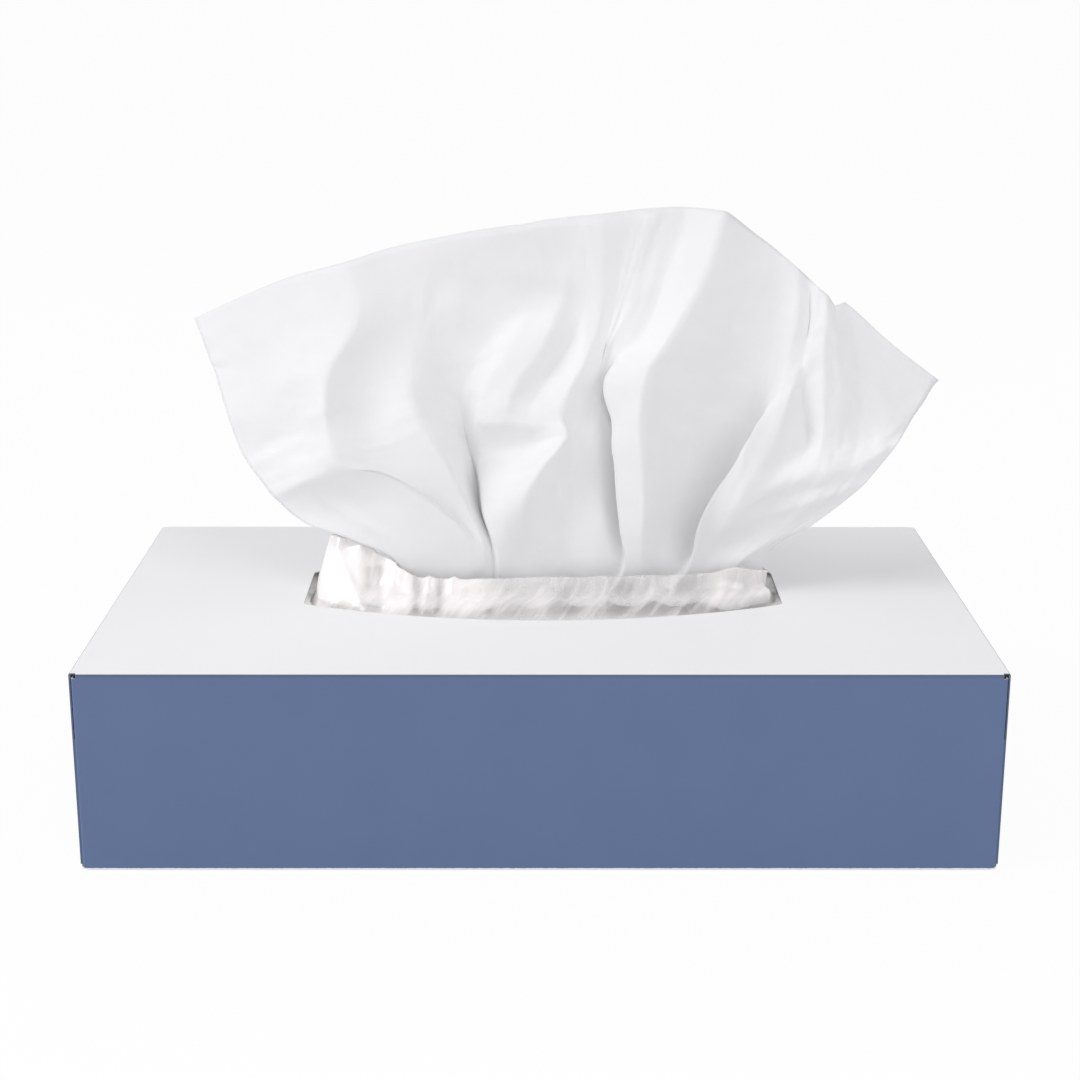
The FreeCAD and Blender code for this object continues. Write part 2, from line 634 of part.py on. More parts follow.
def seen_point(sheet, across, down, out):
    """The place seen at a pixel of the view, out behind the slit, scaled to the tissue's sizes."""
    size = sheet.get
    turn = FreeCAD.Rotation(FreeCAD.Vector(0, 0, 1), -VIEW_ASIDE)
    turn = turn.multiply(FreeCAD.Rotation(FreeCAD.Vector(1, 0, 0), 90 - VIEW_DOWN))
    turn = turn.multiply(FreeCAD.Rotation(FreeCAD.Vector(0, 0, 1), VIEW_ROLL))
    scale = VIEW_SENSOR / VIEW_WIDTH
    middle = VIEW_WIDTH / 2
    ray = turn.multVec(FreeCAD.Vector((across - middle) * scale, (middle - down) * scale, -VIEW_LENS))
    eye = FreeCAD.Vector(*VIEW_PLACE)
    place = eye + ray * ((SEEN_MIDDLE + out - eye.y) / ray.y)
    return FreeCAD.Vector(
        place.x / SEEN_SPREAD * size("tissue_spread"),
        size("opening_back") + out / SEEN_REACH * size("fold_reach"),
        size("carton_height") + (place.z - SEEN_TOP) / SEEN_RISE * size("tissue_rise"),
    )


def fold_line(sheet, number, stations):
    """Points of one fold of the tissue, from its free edge through the slit to the stack."""
    size = sheet.get
    middle = size("opening_back")
    top = size("carton_height")
    share = number / (len(FOLDS) - 1) - 0.5
    ridge = number % 2 == 1
    points = [seen_point(sheet, *station) for station in stations]
    neck = points[-1]
    gather_x = size("gather_across") + share * size("gather_width")
    lean = size("gather_depth") / 2 * (-1 if ridge else 1)
    lean *= EDGE_LEAN if abs(share) == 0.5 else 1.0
    for height, held in ((size("gather_top"), TOP_HOLD), (-size("gather_bottom"), BOTTOM_HOLD)):
        across = gather_x + (neck.x - gather_x) * held
        back = middle + lean * (1 - held) + (neck.y - middle) * held
        points.append(FreeCAD.Vector(across, back, top + height))
    line = smooth_line(points, FOLD_STEPS)
    lying = top - size("board") - size("headroom") + size("rest_gap") + size("tissue") / 2
    pleat = size("bend_pleat") if ridge else 0.0
    bend_x = size("gather_across") + share * size("bend_width")
    line.append(FreeCAD.Vector(bend_x, middle + size("bend_back"), lying + pleat))
    stack_back = size("carton_depth") / 2 - size("board") - size("stack_side_gap")
    line.append(FreeCAD.Vector(share * size("foot_spread"), stack_back - size("foot_trim"), lying))
    return line


def build_tissue(doc, sheet):
    """The tissue drawn up through the slit: a crumpled fan above, its hidden end on the stack."""
    ribs = [fold_line(sheet, number, stations) for number, (_, stations) in enumerate(FOLDS)]
    return add_shaped(doc, "popup_tissue", sheet_solid(ribs, sheet.get("tissue"), closed=False))


def check(doc, parts):
    """Stops if an object failed or a sub-part has no valid solid."""
    for item in doc.Objects:
        if "Invalid" in item.State or "Error" in item.State:
            raise RuntimeError("%s failed: %s" % (item.Name, item.State))
    for part in parts:
        if part.Shape.isNull() or not part.Shape.isValid() or len(part.Shape.Solids) != 1:
            raise RuntimeError("%s is not one valid solid" % part.Label)


def main():
    doc = FreeCAD.newDocument("tissue_box")
    sheet = add_sizes(doc)
    parts = [build_carton(doc), build_film(doc, sheet), build_stack(doc), build_tissue(doc, sheet)]
    doc.recompute()
    check(doc, parts)
    os.makedirs("parts", exist_ok=True)
    for part in parts:
        part.Shape.exportStep("parts/%s.step" % part.Label)
        print(part.Label, round(part.Shape.Volume, 1), part.Shape.BoundBox)


main()
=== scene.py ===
import math

import bmesh
import bpy
from bpy.props import FloatProperty, FloatVectorProperty, IntProperty, PointerProperty
from mathutils import Matrix, Vector, noise


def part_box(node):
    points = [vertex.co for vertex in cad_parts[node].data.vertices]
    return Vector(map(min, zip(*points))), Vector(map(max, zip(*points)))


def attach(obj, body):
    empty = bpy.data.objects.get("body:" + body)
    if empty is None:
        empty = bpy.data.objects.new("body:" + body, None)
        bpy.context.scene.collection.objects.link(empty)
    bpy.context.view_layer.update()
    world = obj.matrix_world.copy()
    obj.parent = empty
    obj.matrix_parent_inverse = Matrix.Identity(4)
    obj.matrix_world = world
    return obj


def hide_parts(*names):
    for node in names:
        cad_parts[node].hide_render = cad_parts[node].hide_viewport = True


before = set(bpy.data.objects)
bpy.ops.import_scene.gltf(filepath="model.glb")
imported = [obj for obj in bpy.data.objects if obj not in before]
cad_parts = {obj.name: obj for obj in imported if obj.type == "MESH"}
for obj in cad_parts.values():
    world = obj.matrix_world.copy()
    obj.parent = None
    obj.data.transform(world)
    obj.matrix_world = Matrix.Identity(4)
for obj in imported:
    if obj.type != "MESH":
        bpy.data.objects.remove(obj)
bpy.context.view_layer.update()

bl_info = {
    "name": "Tissue Box",
    "version": (1, 0, 0),
    "blender": (4, 5, 0),
    "location": "View3D > Sidebar > Tissue Box",
    "description": "Dresses a flat carton of facial tissues: print, film, stack and drawn tissue",
    "category": "Object",
}

# A carton of facial tissues on a white table. Its opening is closed by a clear film with a slit,
# and one tissue stands crumpled in the slit. Front is -Y, the origin is under the carton's middle.

MM = 0.001
CARTON_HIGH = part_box("carton")[1]
STACK_LOW, STACK_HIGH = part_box("tissue_stack")
TOP = CARTON_HIGH.z
BOARD = 0.35 * MM

# Camera of the photograph: its pixels each way, lens and sensor in mm, place, and angles in degrees.
PHOTO_SIZE = 1080
SENSOR = 36.0
LENS = 67.77
CAMERA_PLACE = Vector((-1.45, -521.08, 216.54)) * MM
CAMERA_DOWN = 16.156
CAMERA_ASIDE = 0.18
CAMERA_ROLL = 0.079

# The lamps: name, place and width in metres, and power in watts.
LAMPS = [("key", (-1.1, -0.5, 0.95), 0.9, 9.6), ("fill", (0.8, -1.2, 0.9), 1.2, 6.0)]
LAMP_AIM = Vector((0, 0, 0.07))
ROOM_STRENGTH = 0.57
TABLE_HALF = 14.0
TABLE_TOP = -0.2 * MM
TABLE_WHITE = 0.95

# The opening, the film's glued sheet and the slit in it, as the source draws them. GLUE_GAP is from
# the board to the middle of the film.
OPENING_X = 1.0 * MM
OPENING_Y = 4.0 * MM
OPENING_HALF_LENGTH = 63.25 * MM
OPENING_HALF_DEPTH = 28.1 * MM
FILM_HALF_LENGTH = 76.0 * MM
FILM_HALF_DEPTH = 41.0 * MM
GLUE_MARGIN = 3.5 * MM
GLUE_GAP = 0.05 * MM
SLIT_X = 2.8 * MM
SLIT_HALF_LENGTH = 58.8 * MM

# The slit's lips from its left end to its right end, in mm: place along X, the front and the back
# lip's place along Y, and their height above the top panel. The empty left end stands up as a
# tent; further right the lips lean on the tissue.
LIPS = [
    (-56.0, 3.6, 4.8, 14.8), (-51.5, 1.4, 6.0, 14.6), (-46.1, -1.0, 7.5, 13.5), (-41.5, -2.4, 9.0, 11.2),
    (-37.0, -5.0, 11.0, 7.4), (-31.0, -6.2, 12.5, 6.0), (-22.0, -6.4, 13.0, 5.6), (-11.9, -6.4, 13.5, 5.8),
    (4.6, -6.4, 13.5, 6.2), (32.2, -6.4, 13.5, 6.6), (44.5, -6.0, 12.5, 7.2), (52.8, -5.4, 10.5, 8.6),
    (58.1, -2.9, 8.6, 7.2), (61.6, 3.6, 4.8, 5.0),
]
# How far the film dips below the panel just inside the opening, front and back, along X in mm.
DIPS = [
    (-63.0, 2.0, 3.0), (-48.0, 2.4, 3.2), (-38.0, 0.2, 3.4), (-27.0, 1.8, 3.4), (-16.0, 0.6, 3.4),
    (36.0, 0.6, 3.4), (50.0, 1.8, 3.0), (64.3, 1.3, 1.3),
]
# How milky the bunched film is along the slit: place along X in mm, and the share added above
# MILK_FULL. Below MILK_START only LOW_MILK of it is added, and at the back the share BACK_CLEAR is
# taken off.
BUNCHED = [
    (-62.0, 3.6), (-58.0, 2.0), (-54.0, 0.95), (-49.0, 0.95), (-45.5, 0.35), (-42.5, 0.25),
    (-40.0, 0.80), (-35.0, 0.80), (-32.5, 0.10), (-30.5, 0.55), (-28.5, 0.55), (-26.5, 0.08),
    (-24.0, 0.60), (-17.0, 0.55), (-13.0, 0.26), (-9.0, 0.20), (0.0, 0.20), (6.0, 0.06),
    (14.0, 0.14), (22.0, 0.0), (30.0, 0.10), (40.0, 0.03), (47.0, 0.30), (54.0, 0.25), (60.0, 0.40),
]
LOW_MILK = 0.14
BACK_CLEAR = 0.8
MILK_START = TOP - 0.8 * MM
MILK_FULL = TOP + 1.2 * MM

# Cross creases of the drawn tissue: a name, the pixels where the crease starts and ends, its
# half-width and how far it stands to the front, in mm.
CREASES = [
    ("flap_upper", (246, 466), (318, 428), 3.2, 1.1),
    ("flap_lower", (258, 496), (338, 460), 3.4, 1.7),
    ("low_ridge", (318, 490), (398, 532), 2.6, 0.8),
    ("top_rise", (470, 266), (640, 288), 5.0, 0.7),
    ("dent_line", (440, 300), (494, 344), 3.4, 0.5),
    ("pocket_lip", (474, 420), (566, 424), 2.0, 0.9),
    ("wing_ridge", (728, 519), (894, 464), 3.4, 1.1),
    ("wing_tip", (862, 452), (930, 396), 4.0, 0.7),
]

# The folds of the drawn tissue, from its left edge to its right edge. Each has a name, how crisp
# its crease is from 0 to 1, and nine points from the free edge down to the slit: pixel across and
# pixel down in the photograph, and how far behind the slit's middle the point lies, in mm.
FOLDS = [
    ("left_edge", 0.0,
     [(195, 318, 4), (205, 345, 3), (215, 372, 2), (227, 410, 0), (243, 455, -2),
      (268, 489, -5), (300, 520, -7), (352, 540, -8), (398, 564, -8)]),
    ("left_flap", 0.0,
     [(231, 301, 1), (238, 335, 0), (248, 372, -1), (262, 410, -3), (275, 450, -4),
      (299, 475, -9), (325, 503, -6), (372, 528, -8), (412, 562, -9)]),
    ("left_dip", 0.2,
     [(289, 277, -1), (292, 330, -3), (290, 370, -5), (294, 405, -6), (302, 441, -7),
      (318, 466, -11), (348, 492, -7), (396, 524, -9), (430, 558, -9)]),
    ("left_ridge", 0.9,
     [(345, 262, -3), (358, 315, -6), (328, 378, -10), (325, 410, -12), (329, 437, -12),
      (334, 460, -13), (385, 473, -12), (435, 503, -10), (474, 545, -9)]),
    ("left_valley", 0.0,
     [(385, 249, -2), (394, 310, -3), (356, 378, -6), (357, 412, -7), (370, 436, -8.5),
      (390, 460, -9), (425, 490, -9), (455, 517, -8), (480, 547, -9)]),
    ("band_ridge", 0.5,
     [(425, 240, -2.5), (430, 300, -1), (410, 366, -4), (412, 395, -7), (420, 420, -9),
      (437, 445, -10), (455, 478, -10), (468, 508, -9), (484, 548, -9)]),
    ("hollow", 0.2,
     [(465, 232, -3), (462, 300, 0), (440, 350, 0), (440, 385, 0), (449, 412, 1),
      (460, 438, 2), (468, 468, 0), (474, 502, -4), (488, 549, -8)]),
    ("upper_dent", 0.3,
     [(497, 227, -3.5), (500, 310, 1), (480, 355, 1), (462, 388, 1.5), (462, 415, 3),
      (468, 445, 4), (476, 475, 2), (479, 505, -2), (492, 549, -7)]),
    ("pocket_edge", 0.9,
     [(522, 224, -3.5), (535, 296, 0.5), (512, 345, -2), (486, 388, -2.5), (478, 418, -2),
      (480, 455, 1), (481, 488, -6), (484, 514, -8), (497, 550, -9.5)]),
    ("first_crest", 0.5,
     [(550, 219, -3.5), (563, 292, 0), (542, 345, -3.5), (514, 388, -4), (505, 415, -4),
      (507, 448, 0.5), (508, 478, -8.5), (504, 503, -11.5), (511, 551, -9)]),
    ("second_valley", 0.4,
     [(575, 216, -3.5), (582, 310, 0.5), (566, 350, -0.5), (540, 388, -2), (528, 418, -3.5),
      (532, 444, -1), (533, 465, -10), (525, 490, -13), (527, 553, -8)]),
    ("second_crest", 0.8,
     [(603, 213, -3.5), (597, 330, -1.5), (582, 368, -5), (566, 398, -6), (562, 415, -6),
      (568, 436, -9), (560, 447, -11), (545, 467, -12), (543, 555, -8)]),
    ("strip_valley", 0.2,
     [(632, 210, -3), (611, 325, -0.5), (598, 372, -1.5), (587, 405, -2), (582, 435, -3.5),
      (576, 465, -5), (572, 495, -5), (568, 525, -7), (568, 558, -8)]),
    ("strip_fold", 0.2,
     [(652, 208, -3), (618, 318, -1.2), (600, 372, -1), (598, 402, -1), (598, 430, -2),
      (600, 465, -3), (602, 500, -4), (602, 530, -7), (602, 562, -8)]),
    ("behind_great", 0.2,
     [(670, 207, -2.6), (648, 272, -1.8), (620, 348, -1.6), (603, 392, 0), (614, 430, 2),
      (620, 465, 2), (623, 500, 1), (625, 530, -2), (622, 563, -6)]),
    ("great_edge", 0.9,
     [(688, 207, -2.6), (668, 268, -2), (640, 340, -3), (604, 381, -8), (611, 420, -9),
      (615, 462, -10), (617, 500, -10), (620, 532, -10), (625, 566, -9)]),
    ("great_crest", 0.7,
     [(726, 211, -5), (702, 283, -7), (671, 335, -9), (648, 375, -12), (641, 415, -13),
      (643, 462, -13), (645, 500, -13), (643, 535, -12), (641, 567, -9)]),
    ("great_valley", 0.0,
     [(752, 231, -1), (746, 290, -1), (730, 335, -1), (712, 375, 1), (700, 415, 2),
      (692, 455, 2), (686, 490, 1), (676, 530, -1), (660, 567, -6)]),
    ("valley_wall", 0.1,
     [(776, 249, 0), (778, 300, 1), (770, 345, 1), (766, 390, 1), (762, 424, 3),
      (740, 466, 4), (722, 497, 3), (706, 530, 1), (680, 568, -5)]),
    ("flap_edge", 0.9,
     [(798, 268, -1), (797, 310, -2), (788, 352, -3), (776, 397, -5), (757, 424, -8),
      (735, 464, -10), (716, 490, -10), (699, 524, -10), (688, 569, -9)]),
    ("streak_ridge", 0.5,
     [(811, 280, 0), (810, 322, -1), (802, 360, -3), (791, 393, -6), (768, 453, -9),
      (738, 502, -11), (728, 522, -9), (715, 546, -7), (703, 570, -8)]),
    ("triangle_valley", 0.5,
     [(818, 287, -1.5), (814, 330, -2.8), (807, 365, -4), (802, 394, -3), (808, 440, -3),
      (790, 480, -10), (776, 500, -7), (750, 536, -5), (722, 567, -7)]),
    ("notch_crease", 0.9,
     [(827, 294, -2), (825, 325, -4), (824, 355, -5), (824, 390, -6), (822, 440, -7),
      (815, 473, -11), (802, 494, -8), (774, 530, -5), (738, 564, -7)]),
    ("notch", 0.95,
     [(834, 306, -1), (836, 335, -3), (838, 365, -4), (839, 395, -5), (838, 440, -6),
      (832, 471, -11), (818, 492, -9), (786, 526, -5), (743, 563, -6)]),
    ("right_flap", 0.9,
     [(845, 302, 0), (852, 335, 0), (857, 370, -1), (859, 400, -2), (857, 440, -4),
      (850, 466, -10), (834, 488, -9), (800, 521, -5), (751, 560, -5)]),
    ("right_dip", 0.0,
     [(892, 344, 2), (892, 365, 2), (889, 390, 1), (884, 415, -1), (880, 438, -4),
      (873, 457, -9), (852, 481, -9), (810, 519, -5), (760, 558, -3)]),
    ("right_edge", 0.0,
     [(938, 380, 5), (930, 391, 4), (921, 405, 3), (911, 420, 1), (905, 431, -1),
      (897, 444, -5), (865, 482, -8), (814, 524, -5), (768, 553, -1)]),
]

# Where the tissue is gathered in the slit, its pleats there, and half the width of its flat hidden
# end. From fold to fold the pleats go PLEAT_TURN along a sine wave, so they differ in depth.
NECK_X = 9.0 * MM
NECK_WIDTH = 88.0 * MM
PLEAT = 2.4 * MM
PLEAT_TURN = 1.7
FOOT_HALF_WIDTH = 98.0 * MM

# Under the film the tissue turns back and lies folded on the stack, as it does in the pack: names,
# height over the top panel and place behind the slit in mm, then shares from 0 to 1: how far it
# has spread to its flat width, how deep its pleats are, how much it keeps of the lean above the
# slit, and how crisp its fold is.
HIDDEN = [
    ("slit", 2.5, 0.0, 0.0, 1.0, 0.7, 0.0),
    ("under_film", -4.0, 0.0, 0.0, 1.0, 0.0, 0.0),
    ("bend", -6.8, 18.0, 0.5, 0.4, 0.0, 0.3),
    ("back_fold", -7.2, 48.5, 1.0, 0.0, 0.0, 0.9),
    ("returned", -6.4, 46.0, 1.0, 0.0, 0.0, 0.9),
    ("front_fold", -6.5, 24.0, 1.0, 0.0, 0.0, 1.0),
    ("turned", -5.9, 24.6, 1.0, 0.0, 0.0, 1.0),
    ("tail", -5.7, 44.0, 1.0, 0.0, 0.0, 0.0),
]
SPAN_STEPS = 8
STATION_STEPS = 9

# The tissue's small wrinkles: their sizes, the length of the sheet that shows, and the width and
# length that the gathers at the slit are laid out on. Measured from the free edge, with 1 at the
# slit, they are weaker from WRINKLES_WEAKEN on and end at WRINKLES_END.
BROAD_WRINKLE = 26 * MM
FINE_WRINKLE = 8 * MM
SHARP_WRINKLE = 22 * MM
GATHER_WRINKLE = 5 * MM
SHOWN_LENGTH = 0.11
GATHER_WIDTH = 0.16
GATHER_LENGTH = 0.02
WRINKLES_WEAKEN = 0.6
WRINKLES_END = 1.15

# Creases of the film: a name, where the crease starts and ends in plan, its half-width and its
# height, in mm. They fan out from the tissue's folds to the opening's front edge.
FILM_CREASES = [
    ("tent_crease", (-56.0, 3.0), (-44.0, -15.0), 2.2, 1.3),
    ("white_bulge", (-41.0, -15.0), (-37.5, -2.0), 4.2, 1.9),
    ("left_pleat", (-29.8, -18.0), (-29.0, -5.0), 1.7, 1.3),
    ("middle_pleat", (-23.5, -10.0), (-22.0, -5.0), 1.8, 1.1),
    ("cup_edge", (-21.5, -8.5), (-14.5, -7.5), 1.5, 0.9),
    ("fan_a", (-15.5, -21.0), (-5.0, -8.0), 1.9, 0.8),
    ("fan_b", (-8.5, -22.0), (-2.0, -12.0), 1.6, 0.5),
    ("fan_c", (5.0, -23.0), (10.0, -9.0), 2.0, 0.7),
    ("fan_d", (18.5, -22.0), (17.0, -8.0), 1.5, 0.8),
    ("fan_e", (24.0, -21.0), (33.0, -10.0), 2.0, 0.6),
    ("fan_f", (29.0, -8.0), (40.0, -18.0), 1.7, 0.9),
    ("fan_g", (46.0, -17.0), (50.0, -6.0), 2.0, 0.7),
]

# The film's crinkles: their sizes, drawn out along the way from the slit to the opening's edge.
PLEAT_CRINKLE = 9 * MM
SLANT_CRINKLE = 17 * MM
CROSS_CRINKLE = 23 * MM
FINE_CRINKLE = 4 * MM

# The film is drawn as ribs from its outer edge to the slit. The squareness of its outlines is 2 for
# an ellipse and more for a squarer one. It dips deepest a little inside the opening.
RIBS = 480
RIB_STEPS = 9
SHEET_SQUARENESS = 12
MARGIN_SQUARENESS = 3.2
DIP_SQUARENESS = 2.8
DIP_INSIDE_X = 0.8 * MM
DIP_INSIDE_Y = 3.0 * MM
RIB_CRISPNESS = [0, 0.8, 0.3, 0, 0, 0]

# A rib turns up to its lip at the root, which is lower at the back than in front. At the left end
# the film rises straight from the dip and stands as a tent. LIP_TURN is how fast the front lip goes
# over into the back lip round the slit's ends.
ROOT_SHARE = 0.22
ROOT_RISE = 0.8 * MM
BACK_DROP = 4.4 * MM
MIDDLE_RISE = 0.7 * MM
TENT_START = -41 * MM
TENT_FULL = -50 * MM
LIP_TURN = 4.0

# How far each folded layer of the stack may lie out of line, and the seed of its random places.
LAYER_SHIFT = 0.5 * MM
LAYER_SEED = 5

# Sizes of the patterns in the finishes. The film's streaks are drawn out along the pull of the tissue.
PAPER_GRAIN = 0.9 * MM
PRINT_MOTTLE = 14 * MM
PRINT_WAVER = 0.15 * MM
CREPE = 0.8 * MM
PLY_CLOUD = 9 * MM
STREAK_WIDTH = 2.6 * MM
STREAK_TURN = math.radians(-30)
STREAK_DRAW = (1, 9, 3)


def linear(code):
    """An sRGB hex colour as the linear colour that a shader takes."""
    parts = [int(code[i:i + 2], 16) / 255 for i in (0, 2, 4)]
    return [p / 12.92 if p <= 0.04045 else ((p + 0.055) / 1.055) ** 2.4 for p in parts] + [1.0]


def add_node(tree, kind, inputs=None, **settings):
    """Adds one node with its settings. An input given as a socket is linked, any other is set."""
    node = tree.nodes.new(kind)
    for name, value in settings.items():
        setattr(node, name, value)
    for key, value in (inputs or {}).items():
        if isinstance(value, bpy.types.NodeSocket):
            tree.links.new(value, node.inputs[key])
        else:
            node.inputs[key].default_value = value
    return node


def new_material(name):
    """An empty node material and its tree."""
    material = bpy.data.materials.new(name)
    material.use_nodes = True
    material.node_tree.nodes.clear()
    return material, material.node_tree


def camera_turn():
    """The camera's rotation from its three angles."""
    down = Matrix.Rotation(math.radians(90 - CAMERA_DOWN), 3, "X")
    aside = Matrix.Rotation(math.radians(-CAMERA_ASIDE), 3, "Z")
    roll = Matrix.Rotation(math.radians(CAMERA_ROLL), 3, "Z")
    return aside @ down @ roll


def seen_at(across, down, behind):
    """The place seen at a pixel of the photograph, on the upright plane that far behind the slit."""
    half = PHOTO_SIZE / 2
    right = (across - half) * SENSOR / PHOTO_SIZE
    up = (half - down) * SENSOR / PHOTO_SIZE
    ray = camera_turn() @ Vector((right, up, -LENS))
    plane = OPENING_Y + behind * MM
    return CAMERA_PLACE + ray * ((plane - CAMERA_PLACE.y) / ray.y)


def smooth_line(points, steps, crisp=None):
    """Points along a smooth curve through the given ones. Crisp ones, from 0 to 1, keep a corner."""
    crisp = crisp or [0.0] * len(points)
    lengths = [max((b - a).length, 1e-6) for a, b in zip(points, points[1:])]
    slopes = []
    for i in range(len(points)):
        if i == 0:
            slopes.append((points[1] - points[0]) / lengths[0])
        elif i == len(points) - 1:
            slopes.append((points[-1] - points[-2]) / lengths[-1])
        else:
            before = (points[i] - points[i - 1]) / lengths[i - 1]
            after = (points[i + 1] - points[i]) / lengths[i]
            total = lengths[i - 1] + lengths[i]
            slopes.append(before * (lengths[i] / total) + after * (lengths[i - 1] / total))
    line = []
    for i, length in enumerate(lengths):
        chord = (points[i + 1] - points[i]) / length
        leave = slopes[i].lerp(chord, crisp[i]) * length
        arrive = slopes[i + 1].lerp(chord, crisp[i + 1]) * length
        for step in range(steps):
            t = step / steps
            near = 2 * t ** 3 - 3 * t ** 2 + 1
            away = t ** 3 - 2 * t ** 2 + t
            into = t ** 3 - t ** 2
            line.append(points[i] * near + leave * away + points[i + 1] * (1 - near) + arrive * into)
    line.append(points[-1].copy())
    return line


def grid_object(name, grid, closed, thickness):
    """A mesh sheet from rows of points, closed to a ring where asked, with its thickness."""
    mesh = bpy.data.meshes.new(name)
    rows, columns = len(grid), len(grid[0])
    faces = []
    for i in range(rows if closed else rows - 1):
        for j in range(columns - 1):
            here = i * columns + j
            after = (i + 1) % rows * columns + j
            faces.append((here, here + 1, after + 1, after))
    mesh.from_pydata([tuple(p) for row in grid for p in row], [], faces)
    mesh.polygons.foreach_set("use_smooth", [True] * len(faces))
    piece = bpy.data.objects.new(name, mesh)
    bpy.context.scene.collection.objects.link(piece)
    shell = piece.modifiers.new("thickness", "SOLIDIFY")
    shell.thickness = thickness
    shell.offset = 0.0
    return piece


def read_table(table, across):
    """The table's other columns at its first column's value, smooth between the rows."""
    place = min(max(across, table[0][0]), table[-1][0])
    for low, high in zip(table, table[1:]):
        if place <= high[0]:
            share = (place - low[0]) / (high[0] - low[0])
            share = share * share * (3 - 2 * share)
            return [a + (b - a) * share for a, b in zip(low[1:], high[1:])]


def fade(value, start, end):
    """Goes evenly from 0 at the start to 1 at the end, and stays there."""
    return max(0.0, min(1.0, (value - start) / (end - start)))


def crumple(point, size, octaves=3):
    """Smooth noise from -1 to 1 whose bumps are about that size."""
    return noise.fractal(point / size, 1.0, 2.0, octaves, noise_basis="PERLIN_ORIGINAL")


def ridge(point, size):
    """Thin ridges where crumple changes sign: 1 on a ridge, near 0 elsewhere."""
    return max(0.0, 1.0 - 5.0 * abs(crumple(point, size, 2)))


def crease(place, start, end, half_width):
    """Height of a crease at a place in its plane: 1 along its line, 0 beside it and at its ends."""
    along = end - start
    share = max(0.0, min(1.0, (place - start).dot(along) / along.length_squared))
    aside = (place - start - along * share).length / half_width
    return max(0.0, 1.0 - aside) ** 1.5 * math.sin(math.pi * share) ** 0.5


# Finishes

